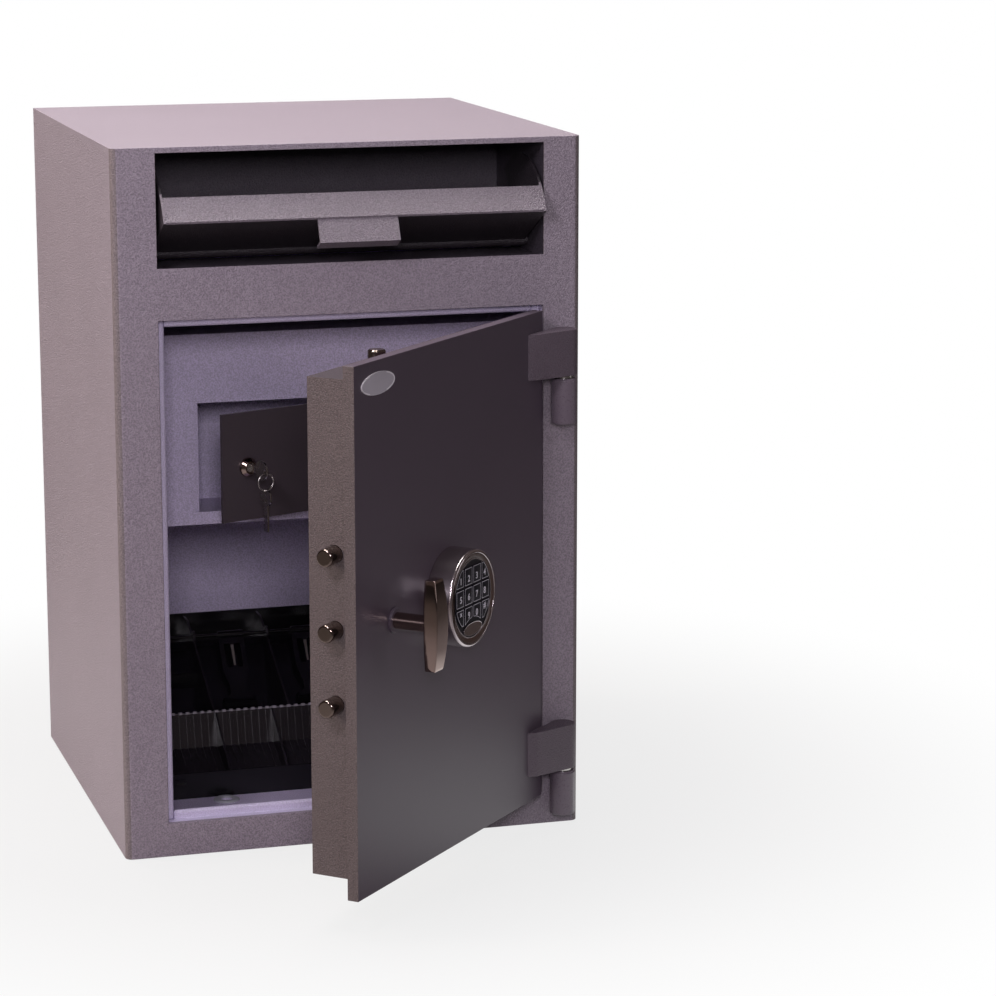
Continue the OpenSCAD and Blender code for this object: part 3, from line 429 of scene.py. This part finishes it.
# Darker still on the bolts: a painted reflection on their ends.
bolt_chrome_painted_reflection = metal("bolt_chrome_painted_reflection", (0.25, 0.2, 0.175), 0.1, depth=0.006 * mm)
satin_chrome = metal("satin_chrome", (0.56, 0.5, 0.52), 0.2, stretch=(0.2, 0.2, 3), depth=0.006 * mm)
turned_steel = metal("turned_steel", (0.56, 0.54, 0.52), 0.24)
zinc_plate = metal("zinc_plate", (0.5, 0.49, 0.46), 0.33, line=4 * mm, depth=0.04 * mm, haze=0.12)
cast_brass = metal("cast_brass", (0.62, 0.45, 0.2), 0.38, line=3 * mm, depth=0.05 * mm, haze=0.1)
metals = (chrome, bolt_chrome_painted_reflection, satin_chrome, turned_steel, zinc_plate, cast_brass)
print("metals:", [m.name for m in metals])

# %% [markdown]
# ## Plastics, rubber and ink
# The cash tray is black moulded plastic with a fine leather-like grain, its
# coin cups are smoky and a little glossier, and the keypad's face is smooth.
# The keys are soft rubber with printed white frames and numbers.


# %% Plastics
tone_size = 50 * mm
rough_spread = 0.1


def plastic(name, colour, rough, grain=1.2 * mm, depth=0.05 * mm, gloss=0.5, tone=0.85):
    """Moulded plastic, rubber or ink: tone is how dark its darkest patches are."""
    material, tree, shader = start_material(name)
    fine = add_noise(tree, grain, 2)
    broad = add_noise(tree, tone_size, 2)
    mixed = add_mix(tree, add_range(tree, broad.outputs["Fac"], 0, 1), shade(colour, tone), colour)
    roughness = add_range(tree, fine.outputs["Fac"], rough, rough + rough_spread)
    tree.links.new(mixed, shader.inputs["Base Color"])
    tree.links.new(roughness, shader.inputs["Roughness"])
    shader.inputs["Specular IOR Level"].default_value = gloss
    add_bump(tree, shader, fine.outputs["Fac"], depth)
    return material


tray_black = plastic("tray_black", (0.005, 0.0045, 0.006), 0.16)
cup_smoke = plastic("cup_smoke", (0.02, 0.017, 0.021), 0.13, depth=0.02 * mm)
# Pale: a painted highlight on the cups' teeth and rib edges.
cup_rim_highlight = plastic("cup_rim_highlight", (0.36, 0.33, 0.37), 0.3, depth=0.01 * mm)
clear_tongue = plastic("clear_tongue", (0.16, 0.14, 0.13), 0.2, depth=0.01 * mm)
anchor_grey = plastic("anchor_grey", (0.5, 0.5, 0.55), 0.4, depth=0.02 * mm)
keypad_black = plastic("keypad_black", (0.007, 0.006, 0.01), 0.3, depth=0.01 * mm, gloss=0.18)
keypad_brown = plastic("keypad_brown", (0.075, 0.044, 0.036), 0.16, depth=0.01 * mm)
key_rubber = plastic("key_rubber", (0.009, 0.008, 0.013), 0.42, grain=0.8 * mm, gloss=0.18)
white_ink = plastic("white_ink", (0.82, 0.78, 0.86), 0.5, depth=0.005 * mm, tone=0.95)
badge_silver = plastic("badge_silver", (0.52, 0.48, 0.53), 0.3, depth=0.004 * mm)
badge_rim = plastic("badge_rim", (0.85, 0.8, 0.84), 0.25, depth=0.002 * mm)
tray_plastics = (tray_black, cup_smoke, cup_rim_highlight, clear_tongue, anchor_grey)
keypad_plastics = (keypad_black, keypad_brown, key_rubber, white_ink, badge_silver, badge_rim)
print("plastics and inks:", [m.name for m in tray_plastics + keypad_plastics])

# %% [markdown]
# ## The welded shell
# The sheet-metal shell is one welded box: a bent front with its side returns,
# the sides, the top, the floor and the back. In the frame these are separate
# plates. Their copies are fused here, so that the flat seams vanish as they do
# under paint, and every outer edge gets the small radius of a ground weld.

# %% Shell
shell_plates = ["front_frame", "side_plates", "top_plate", "base_plate", "back_plate"]
shell_edge = 1.3 * mm
skin = 3 * mm
bend_depth = 15 * mm
front_return = 25 * mm
drop_z = 575 * mm
shell_parts = [merged_copy(n) for n in shell_plates]
shell = fuse(shell_parts[0], shell_parts[1:])
soften(shell, shell_edge, 3)
shell_low = Vector([min(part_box(n)[0][axis] for n in shell_plates) for axis in range(3)])
shell_high = Vector([max(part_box(n)[1][axis] for n in shell_plates) for axis in range(3)])


def shell_finish(face):
    """0 is the outside, 1 the chamber in the pale inside paint, partly painted light, 2 the walls round the drawer
    in painted shade, 3 the bends beside the front in painted shade.
    """
    at = face.center
    inside = all(shell_low[axis] + skin < at[axis] < shell_high[axis] - skin for axis in range(3))
    turned = face.normal.y < -0.2 and abs(face.normal.x) > 0.25 and abs(face.normal.z) < 0.1
    if turned and at.y < shell_low.y + bend_depth and not inside:
        return 3
    if inside and at.z > drop_z:
        return 2
    return inside and at.y > shell_low.y + front_return


# The chamber's pale paint is partly painted light; the drawer walls and the front bends carry painted shade.
paint(shell, (body_coat, inner_lit_coat, recess_shadow_coat, bend_shadow_coat), shell_finish)
hand_over(shell, "welded_shell", "body", None, shell_plates)
print("shell faces:", len(shell.data.polygons))

# %% [markdown]
# ## Sheet-metal pieces
# Most other pieces keep the frame's shape and only need their edges taken off.
# A short table says how far each edge is rounded, in millimetres, and which
# finish it gets, and one loop treats them all alike. The locker's small pins
# stay as they are.

# %% Edges and finishes
edge_rounding = {
    # The stop frame's pale coat is a painted highlight on its rounded nose.
    "stop_uprights": (1.5, stop_highlight_coat),
    "stop_rails": (1.5, stop_highlight_coat),
    "hinge_barrels": (0.8, barrel_coat),
    "hinge_blocks": (1.6, hinge_coat),
    "hinge_pins": (0.3, turned_steel),
    # The recess and chute take the dark coat, painted shade.
    "recess_sides": (0.4, recess_shadow_coat),
    "recess_back": (0.6, recess_shadow_coat),
    "drop_chute": (0.6, recess_shadow_coat),
    # The locker takes the pale inside paint, partly painted light.
    "locker_body": (0.8, inner_lit_coat),
    "locker_front": (0.9, inner_lit_coat),
    "anchor_washers": (0.3, anchor_grey),
    "cash_tray": (0.7, tray_black),
    "note_dividers": (0.5, cup_smoke),
    "clip_rod": (0.2, tray_black),
    "bolt_posts": (0.2, zinc_plate),
    "lock_case": (1.0, cast_brass),
    "keypad_face": (0.2, keypad_black),
    "handle_collar": (0.3, door_coat),
    # The handle's dark brown metal colour is a painted reflection.
    "handle_bar": (1.4, chrome),
    "handle_spindle": (0.3, chrome),
    "drive_cam": (0.3, zinc_plate),
    "bolt_carriage": (0.3, zinc_plate),
    # The bolts' dark metal colour is a painted reflection.
    "side_bolts": (0.8, bolt_chrome_painted_reflection),
    "top_bolt": (0.6, bolt_chrome_painted_reflection),
    "lock_latch": (0.4, turned_steel),
    "locker_door": (0.6, locker_door_and_shadow_coat),
    "locker_lock": (0.4, chrome),
    "locker_key": (0.25, turned_steel),
    "lock_tongue": (0.4, zinc_plate),
    "spare_key": (0.25, turned_steel),
}
clip_names = [n for n in nodes if n.startswith("note_clip")]
edge_rounding.update({n: (0.4, tray_black) for n in clip_names})
for node, (width, finish) in edge_rounding.items():
    piece = merged_copy(node)
    soften(piece, width * mm)
    hand_over(piece, node + "_finished", body_of_node[node], finish, [node])
nodes["locker_pins"].data.materials.clear()
nodes["locker_pins"].data.materials.append(turned_steel)
print("finished pieces:", len(edge_rounding))

# %% [markdown]
# ## The door plate
# The face of the door is smooth satin paint, and its cut edges are coarser and
# browner, like the cover behind it. So the plate gets both paints, and each
# face takes the one that belongs to the way it looks.

# %% Door plate
def two_finishes(node, width, segments, first, second, gets_second, cut=None):
    """Softens a copy of a node, cut level where asked, and gives chosen faces the second finish."""
    piece = merged_copy(node)
    if cut:
        edit(piece)
        bpy.ops.mesh.bisect(plane_co=(0, 0, cut), plane_no=(0, 0, 1))
        leave_edit()
    soften(piece, width, segments)
    paint(piece, (first, second), gets_second)
    hand_over(piece, node + "_finished", body_of_node[node], None, [node])
    chosen = sum(face.material_index for face in piece.data.polygons)
    print(node, "faces with", second.name, ":", chosen)


def on_side_edge(face):
    """The plate's upright edges, where neither its face nor its top shows."""
    return abs(face.normal.dot(door_out)) < 0.8 and abs(face.normal.z) < 0.5


def looks_up(face):
    return face.normal.z > 0.5


two_finishes("door_plate", 1.2 * mm, 3, door_coat, edge_coat, on_side_edge)
# The cover's top takes the small door's dark coat as painted shade, where the fascia shades it.
two_finishes("bolt_cover", 2.2 * mm, 2, edge_coat, locker_door_and_shadow_coat, looks_up)

# %% [markdown]
# ## The painted shadow beside the cover
# A dark line runs where the cover meets the door plate; here it is painted
# shadow: a flat, near-black frame, a hair larger than the cover. A box is inset
# on both large faces, and the two insets are bridged into its opening.

# %% Painted shadow beside the cover
cover_low, cover_high = closed_box("bolt_cover")
shadow_seam_proud = 0.4 * mm
shadow_seam_deep = 1.5 * mm
shadow_seam_thick = 5 * mm
shadow_seam_gap = 0.1 * mm
shadow_seam_width = cover_high.x - cover_low.x + 2 * shadow_seam_proud
shadow_seam_height = cover_high.z - cover_low.z + 2 * shadow_seam_proud
shadow_seam = add_block((shadow_seam_width, shadow_seam_thick, shadow_seam_height))
edit(shadow_seam, "DESELECT")
select_faces(shadow_seam, lambda f: abs(f.normal.y) > 0.9)
bpy.ops.mesh.inset(thickness=shadow_seam_proud + shadow_seam_deep)
bpy.ops.mesh.bridge_edge_loops()
leave_edit()
soften(shadow_seam, 0.15 * mm, 1)
shadow_seam_place = (cover_low + cover_high) / 2
shadow_seam_place.y = cover_low.y + shadow_seam_thick / 2 + shadow_seam_gap
place(shadow_seam, hinge_matrix @ Matrix.Translation(shadow_seam_place))
hand_over(shadow_seam, "cover_shadow_seam", "door", shadow_seam_coat)
print("seam faces:", len(shadow_seam.data.polygons))

# %% [markdown]
# ## Keypad housing and coin cups
# The housing is satin metal with a dark brown ring on its front, and the edge
# between them stays bright. The smoky insert of coin cups gets a pale painted
# highlight on its rim of small teeth, cut off level by a bisect, and on the
# narrow sides of its ribs. Both get their second finish by where a face lies.

# %% Housing and cups
rim_height = 2.2 * mm
rib_side_area = 80 * mm * mm
cup_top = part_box("coin_cups")[1].z - rim_height


def faces_out(face):
    return face.normal.dot(door_out) > 0.97


def is_rim_or_rib(face):
    """The teeth above the cut and the narrow sides of the ribs, which get a painted highlight."""
    return face.center.z > cup_top or (abs(face.normal.x) > 0.7 and face.area < rib_side_area)


two_finishes("keypad_housing", 0.8 * mm, 3, satin_chrome, keypad_brown, faces_out)
two_finishes("coin_cups", 0.35 * mm, 2, cup_smoke, cup_rim_highlight, is_rim_or_rib, cut=cup_top)

# %% [markdown]
# ## The deposit drawer
# The drawer is one folded and welded piece: its front, the bright top flange,
# the cheeks and the pull. Its parts are fused first, so that the paint runs
# over the joints, and the folded nose gets a rounder edge that catches a line
# of light. Its paint is the body's, darkened as painted shade, and its
# underside and all behind the nose are nearly black, as painted shadow.

# %% Drawer
drawer_parts = ["drawer_pan", "drawer_cheeks", "drawer_pull"]
nose_depth = 12 * mm
pull_root = 4 * mm
pull_low, pull_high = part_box("drawer_pull")
drawer_copies = [merged_copy(n) for n in drawer_parts]
drawer = fuse(drawer_copies[0], drawer_copies[1:])
soften(drawer, 1.2 * mm, 3)


def is_shaded(face):
    """The underside without the pull, and all that lies behind the nose, where shadow is painted nearly black."""
    at = face.center
    on_pull = pull_low.x < at.x < pull_high.x and at.y < pull_high.y - pull_root
    looks_down = face.normal.z < -0.5
    return (looks_down and not on_pull) or at.y > pull_high.y + nose_depth


paint(drawer, (drawer_shaded_coat, painted_shadow_coat), is_shaded)
hand_over(drawer, "drawer_finished", "drawer", None, drawer_parts)
print("drawer faces:", len(drawer.data.polygons))

# %% [markdown]
# ## Keys with printed frames
# Each key is a rubber pad that stands a millimetre proud, with a thin white
# frame printed just inside its edge. The key's front face is inset twice: the
# ring between the two insets becomes the frame, and gets the ink.

# %% Keys
key_names = [n for n in nodes if n.startswith("key_")]
frame_inset = 0.35 * mm
frame_width = 0.42 * mm
key_face_area = 40 * mm * mm
straight_out = 0.99
for node in key_names:
    key = merged_copy(node)
    soften(key, 0.35 * mm)
    key.data.materials.clear()
    key.data.materials.append(key_rubber)
    key.data.materials.append(white_ink)
    edit(key, "DESELECT")
    select_faces(key, lambda f: f.normal.dot(door_out) > straight_out and f.calc_area() > key_face_area)
    bpy.ops.mesh.inset(thickness=frame_inset)
    bpy.ops.mesh.inset(thickness=frame_width)
    leave_edit()
    fronts = [f for f in key.data.polygons if f.normal.dot(door_out) > straight_out]
    field = max(fronts, key=lambda f: f.area)
    field_points = set(field.vertices)
    for face in fronts:
        if face.index != field.index and field_points & set(face.vertices):
            face.material_index = 1
    hand_over(key, node + "_finished", body_of_node[node], None, [node])
print("keys:", len(key_names))

# %% [markdown]
# ## Numbers on the keys
# Plain numbers are printed on ten keys, and the two lower corner keys have a
# cross and a hash sign for clearing and confirming. Blender's own font is set,
# thickened by a hair, turned into a mesh and laid on the key.

# %% Numbers
key_signs = {f"key_{k}": str(k) for k in range(10)}
key_signs["key_clear"] = "×"
key_signs["key_enter"] = "#"
sign_height = 9.5 * mm
sign_thick = 0.06 * mm
sign_bold = 0.12 * mm
sign_lift = 0.05 * mm
sign_inward = 0.06
corner_key_shift = 2.5 * mm
other_key_shift = -1 * mm
for node in key_names:
    centre = closed_centre(node)
    bpy.ops.object.select_all(action="DESELECT")
    bpy.ops.object.text_add()
    sign = bpy.context.object
    sign.data.body = key_signs[node]
    sign.data.size = sign_height
    sign.data.align_x = "CENTER"
    sign.data.align_y = "CENTER"
    sign.data.extrude = sign_thick
    sign.data.offset = sign_bold
    only(sign)
    bpy.ops.object.convert(target="MESH")
    shift = corner_key_shift if node in ("key_clear", "key_enter") else other_key_shift
    inward = (keypad_centre - centre) * sign_inward
    key_top = front_y - closed_box(node)[0].y
    place(sign, on_door(centre.x + inward.x, key_top + sign_lift, centre.z + inward.z + shift))
    hand_over(sign, "number_" + node, body_of_node[node], white_ink)
print("numbers:", len(key_names))

# %% [markdown]
# ## The keypad's ring and badge plate
# Between the satin rim and the keys lies a dark polished band with a thin
# bright lip. A profile is spun once round for each. Below the keys is an oval
# plate with a raised rim, which is left bare.


# %% Keypad trim
def spun_ring(profile, steps=96):
    """Spins a closed profile of (radius, height) points round Z into a ring."""
    mesh = bpy.data.meshes.new("ring")
    ring = bpy.data.objects.new("ring", mesh)
    bpy.context.scene.collection.objects.link(ring)
    outline = bmesh.new()
    corners = [outline.verts.new((r, 0, h)) for r, h in profile]
    for a, b in zip(corners, corners[1:] + corners[:1]):
        outline.edges.new((a, b))
    outline.to_mesh(mesh)
    outline.free()
    edit(ring)
    bpy.ops.mesh.select_mode(type="EDGE")
    bpy.ops.mesh.select_all(action="SELECT")
    bpy.ops.mesh.spin(steps=steps, angle=2 * math.pi, center=(0, 0, 0), axis=(0, 0, 1))
    bpy.ops.mesh.select_all(action="SELECT")
    bpy.ops.mesh.remove_doubles(threshold=0.01 * mm)
    bpy.ops.mesh.normals_make_consistent(inside=False)
    leave_edit()
    only(ring)
    bpy.ops.object.shade_smooth_by_angle(angle=math.radians(40))
    return ring


def rimmed_oval(width, height, thick, rim):
    """A thin oval plate whose field is sunk inside a rim: a cylinder squeezed to the oval."""
    bpy.ops.object.select_all(action="DESELECT")
    bpy.ops.mesh.primitive_cylinder_add(vertices=72, radius=0.5, depth=thick,
                                        location=(0, 0, thick / 2))
    plate = bpy.context.object
    plate.scale = (width, height, 1)
    settle(plate)
    edit(plate, "DESELECT")
    select_faces(plate, lambda f: f.normal.z > 0.9)
    bpy.ops.mesh.inset(thickness=rim)
    bpy.ops.transform.translate(value=(0, 0, -thick * 0.35))
    leave_edit()
    soften(plate, thick * 0.18)
    return plate


def beyond_oval(x, z, width, height, share):
    """Tells whether a face on the door lies outside this share of an oval."""

    def lies_beyond(face):
        at = closed_door @ face.center
        return math.hypot((at.x - x) / (0.5 * width), (at.z - z) / (0.5 * height)) > share

    return lies_beyond


face_front = 27 * mm
band_top = face_front + 1.5 * mm
band_foot = face_front + 0.5 * mm
band_outer = 45.6 * mm
band_inner = 40.2 * mm
band = spun_ring([(band_inner, face_front), (band_outer, face_front), (band_outer, band_top),
                  (band_outer - 1.6 * mm, band_top), (band_inner + 1.2 * mm, band_foot)])
place(band, on_door(keypad_centre.x, 0, keypad_centre.z))
hand_over(band, "keypad_band", "door", keypad_brown)

lip_half = 0.5 * mm
lip_top = face_front + 0.7 * mm
lip = spun_ring([(band_inner - lip_half, face_front), (band_inner + lip_half, face_front),
                 (band_inner + lip_half, lip_top), (band_inner - lip_half, lip_top)])
place(lip, on_door(keypad_centre.x, 0, keypad_centre.z))
hand_over(lip, "keypad_lip", "door", satin_chrome)

plate_w = 40 * mm
plate_h = 13.5 * mm
plate_z = keypad_centre.z - 31.5 * mm
plate = rimmed_oval(plate_w, plate_h, 1.4 * mm, 0.9 * mm)
place(plate, on_door(keypad_centre.x, face_front, plate_z))
on_plate_rim = beyond_oval(keypad_centre.x, plate_z, plate_w, plate_h, 0.91)
paint(plate, (keypad_brown, satin_chrome), on_plate_rim)
hand_over(plate, "keypad_badge", "door", None)
print("keypad trim made")

# %% [markdown]
# ## The door's badge plate
# A small oval plate with a pale rim sits near the door's upper corner. It is
# left bare. It is made like the keypad's plate, a little larger.

# %% Door badge
badge_x = -154.6 * mm
badge_z = 546.5 * mm
badge_w = 66 * mm
badge_h = 22 * mm
badge = rimmed_oval(badge_w, badge_h, 1.2 * mm, 1.5 * mm)
place(badge, on_door(badge_x, 0, badge_z))
paint(badge, (badge_silver, badge_rim), beyond_oval(badge_x, badge_z, badge_w, badge_h, 0.93))
hand_over(badge, "door_badge", "door", None)
print("door badge made")

# %% [markdown]
# ## Screws of the bolt cover
# The cover on the inside of the door is held by screws that turn into the
# posts behind it. A screw's head is a cone frustum with a socket: its front
# face is inset, and the middle is pushed in. One is modelled, and its copies
# stand at the four corners.

# %% Cover screws
post_low, post_high = closed_box("bolt_posts")
post_radius = 4 * mm
head_height = 1.1 * mm
recess_inset = 2.1 * mm
recess_depth = 0.8 * mm
face_inwards = Matrix.Rotation(-math.pi / 2, 4, "X")
bpy.ops.object.select_all(action="DESELECT")
bpy.ops.mesh.primitive_cone_add(vertices=32, radius1=4.6 * mm, radius2=3.9 * mm, depth=head_height,
                                location=(0, 0, head_height / 2))
screw = bpy.context.object
settle(screw)
edit(screw, "DESELECT")
select_faces(screw, lambda f: f.normal.z > 0.9)
bpy.ops.mesh.inset(thickness=recess_inset)
bpy.ops.mesh.extrude_region_move(TRANSFORM_OT_translate={"value": (0, 0, -recess_depth)})
leave_edit()
soften(screw, 0.15 * mm)
screw_count = 0
for x in (post_low.x + post_radius, post_high.x - post_radius):
    for z in (post_low.z + post_radius, post_high.z - post_radius):
        one = screw.copy()
        one.data = screw.data.copy()
        bpy.context.scene.collection.objects.link(one)
        place(one, hinge_matrix @ Matrix.Translation((x, cover_high.y, z)) @ face_inwards)
        screw_count += 1
        hand_over(one, f"cover_screw_{screw_count}", "door", zinc_plate)
bpy.data.objects.remove(screw)
print("cover screws:", screw_count)

# %% [markdown]
# ## Small parts of the cash tray
# Each note clip has a clear springy tongue in its window, and the front of the
# tray has a small moulded grip at its left end. The tongue is a thin bar with
# its far end narrowed, and the grip is a block whose front is inset and sunk.

# %% Tray trim
clip_steepness = math.radians(53.6)
tongue_width = 3.6 * mm
tongue_length = 26 * mm
tongue_start = 14 * mm
tongue_thick = 0.8 * mm
tongue_taper = 0.6
arm_half = 1.3 * mm
for name in clip_names:
    low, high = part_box(name)
    rod = Vector(joints[name + "_lift"]["pos_m"])
    tongue_middle = (0, -tongue_start - tongue_length / 2, 0)
    tongue = add_block((tongue_width, tongue_length, tongue_thick), tongue_middle)
    edit(tongue, "DESELECT")
    select_faces(tongue, lambda f: f.normal.y < -0.9)
    bpy.ops.transform.resize(value=(tongue_taper, 1, 1), center_override=(0, 0, 0))
    leave_edit()
    soften(tongue, 0.25 * mm)
    hinge_place = Matrix.Translation(((low.x + high.x) / 2, rod.y, rod.z))
    tilt = hinge_place @ Matrix.Rotation(clip_steepness, 4, "X")
    place(tongue, tilt @ Matrix.Translation((0, 0, arm_half + tongue_thick / 2)))
    hand_over(tongue, name + "_tongue", body_of_node[name], clear_tongue)
tray_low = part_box("cash_tray")[0]
grip_w = 12.5 * mm
grip_h = 5 * mm
grip_t = 1 * mm
grip_rim = 0.8 * mm
grip_sink = 0.6 * mm
grip_x = tray_low.x + 10 * mm
grip_z = tray_low.z + 20 * mm
grip = add_block((grip_w, grip_t, grip_h))
edit(grip, "DESELECT")
select_faces(grip, lambda f: f.normal.y < -0.9)
bpy.ops.mesh.inset(thickness=grip_rim)
bpy.ops.transform.translate(value=(0, grip_sink, 0))
leave_edit()
soften(grip, 0.2 * mm)
place(grip, Matrix.Translation((grip_x, tray_low.y - grip_t / 2, grip_z)))
hand_over(grip, "tray_grip", "body", tray_black)
print("tray trim:", len(clip_names) + 1)

# %% [markdown]
# ## Stage
# The safe stands on a plain pale floor against white. The floor is bright only
# for the camera, and a faint share of real shading keeps the soft shadow near
# the safe. It fades out, so no horizon shows. Its own colour is paler near the
# safe and dark further off: painted light that gives the safe's foot bounce.
# A spot beside the door's foot glows white in reflections only, a painted
# reflection that lightens the door's foot.


# %% Floor
def fade(tree, value, start, end, at_start, at_end):
    """A share that changes smoothly from at_start to at_end as a value grows."""
    step = tree.nodes.new("ShaderNodeMapRange")
    step.interpolation_type = "SMOOTHSTEP"
    step.inputs["From Min"].default_value = start
    step.inputs["From Max"].default_value = end
    step.inputs["To Min"].default_value = at_start
    step.inputs["To Max"].default_value = at_end
    tree.links.new(value, step.inputs["Value"])
    return step.outputs["Result"]


def calculate(tree, operation, first, second):
    """Multiplies or adds two nodes' outputs."""
    result = tree.nodes.new("ShaderNodeMath")
    result.operation = operation
    tree.links.new(first, result.inputs[0])
    tree.links.new(second, result.inputs[1])
    return result.outputs[0]


def mix_shaders(tree, factor, first, second):
    """Shows the second shader where the factor is 1."""
    mixer = tree.nodes.new("ShaderNodeMixShader")
    tree.links.new(factor, mixer.inputs["Fac"])
    tree.links.new(first, mixer.inputs[1])
    tree.links.new(second, mixer.inputs[2])
    return mixer.outputs["Shader"]


def distance_from(tree, point):
    """The distance from a point, in Object coordinates."""
    where = tree.nodes.new("ShaderNodeTexCoord")
    distance = tree.nodes.new("ShaderNodeVectorMath")
    distance.operation = "DISTANCE"
    distance.inputs[1].default_value = point
    tree.links.new(where.outputs["Object"], distance.inputs[0])
    return distance.outputs["Value"]


floor_size = 60
floor_gap = 0.6 * mm
reflection_patch_centre = (0.36, -0.32, 0)
bpy.ops.object.select_all(action="DESELECT")
bpy.ops.mesh.primitive_plane_add(size=floor_size, location=(0, 0, -floor_gap))
floor = bpy.context.object
floor.name = "floor"
settle(floor)
floor_material, tree, shader = start_material("pale_floor")
shader.inputs["Roughness"].default_value = 0.9
from_safe = distance_from(tree, (0, 0, 0))
darkening = fade(tree, from_safe, 0.5, 1.7, 0, 1)
# Paler near the safe than far off: painted light for bounce onto the safe's foot.
painted_light_pool = add_mix(tree, darkening, (0.26, 0.245, 0.25), (0.08, 0.07, 0.066))
tree.links.new(painted_light_pool, shader.inputs["Base Color"])
glow = tree.nodes.new("ShaderNodeEmission")
glow.inputs["Color"].default_value = (1, 1, 1, 1)
rays = tree.nodes.new("ShaderNodeLightPath")
brightening = fade(tree, from_safe, 0.4, 1.0, 0.8, 1)
seen = calculate(tree, "MULTIPLY", rays.outputs["Is Camera Ray"], brightening)
# This spot glows white only for reflections: a painted reflection on the door's foot.
painted_reflection = fade(tree, distance_from(tree, reflection_patch_centre), 0.1, 0.42, 1, 0)
mirrored = calculate(tree, "MULTIPLY", rays.outputs["Is Glossy Ray"], painted_reflection)
share = calculate(tree, "ADD", seen, mirrored)
surface = mix_shaders(tree, share, shader.outputs["BSDF"], glow.outputs["Emission"])
tree.links.new(surface, tree.nodes["Material Output"].inputs["Surface"])
floor.data.materials.append(floor_material)
print("floor ready")

# %% [markdown]
# ## World
# The world is a quiet grey for light and a dark warm grey in reflections, as
# the photographer's room was, and it is white only where the camera sees it.


# %% World
def add_background(tree, colour, strength):
    """A world colour with its strength."""
    background = tree.nodes.new("ShaderNodeBackground")
    background.inputs["Color"].default_value = (*colour, 1)
    background.inputs["Strength"].default_value = strength
    return background.outputs["Background"]


world = bpy.data.worlds.new("studio")
bpy.context.scene.world = world
world.use_nodes = True
tree = world.node_tree
for_light = add_background(tree, (0.93, 0.93, 1.0), 0.17)
in_mirrors = add_background(tree, (0.1, 0.08, 0.075), 1)
for_camera = add_background(tree, (1, 1, 1), 1)
rays = tree.nodes.new("ShaderNodeLightPath")
unseen = mix_shaders(tree, rays.outputs["Is Glossy Ray"], for_light, in_mirrors)
sky = mix_shaders(tree, rays.outputs["Is Camera Ray"], unseen, for_camera)
tree.links.new(sky, tree.nodes["World Output"].inputs["Surface"])
print("world ready")

# %% [markdown]
# ## Lamps
# The safe is lit like a product shot: a large soft lamp high on the left gives
# the pale side, and one overhead gives the palest top. Two smaller ones light
# the front from the camera's side. The right is nearly dark, so the open door
# turns deep grey with a soft sheen. The left lamp is kept out of mirror images,
# as the top would turn white in it when seen from the right.


# %% Lamps
def soft_lamp(name, place_at, look_at, width, height, power, colour, mirrored=True):
    """A rectangular lamp, in metres and watts, that the camera does not see."""
    data = bpy.data.lights.new(name, "AREA")
    data.shape = "RECTANGLE"
    data.size = width
    data.size_y = height
    data.energy = power
    data.color = colour
    lamp = bpy.data.objects.new(name, data)
    bpy.context.scene.collection.objects.link(lamp)
    lamp.location = place_at
    direction = Vector(look_at) - Vector(place_at)
    lamp.rotation_euler = direction.to_track_quat("-Z", "Y").to_euler()
    lamp.visible_camera = False
    lamp.visible_glossy = mirrored


middle = (0, 0, 0.4)
front = (-0.1, -0.25, 0.6)
lamps = [
    ("left_lamp", (-3.0, 0.3, 2.0), middle, 1.2, 2.0, 101, (1, 0.92, 0.79), False),
    ("top_lamp", (-0.3, 0.2, 3.0), middle, 1.6, 1.6, 105, (1, 0.985, 0.96)),
    ("camera_lamp", (-0.8, -3.7, 1.5), middle, 0.6, 0.6, 34, (0.97, 0.91, 1)),
    ("key_lamp", (-0.95, -1.35, 1.5), front, 0.35, 0.35, 10, (0.97, 0.91, 1)),
    ("right_lamp", (3.0, -1.0, 1.0), middle, 0.6, 1.8, 5, (1, 0.97, 1)),
]
for row in lamps:
    soft_lamp(*row)
bpy.context.scene.view_settings.view_transform = "Standard"
print("lamps ready")
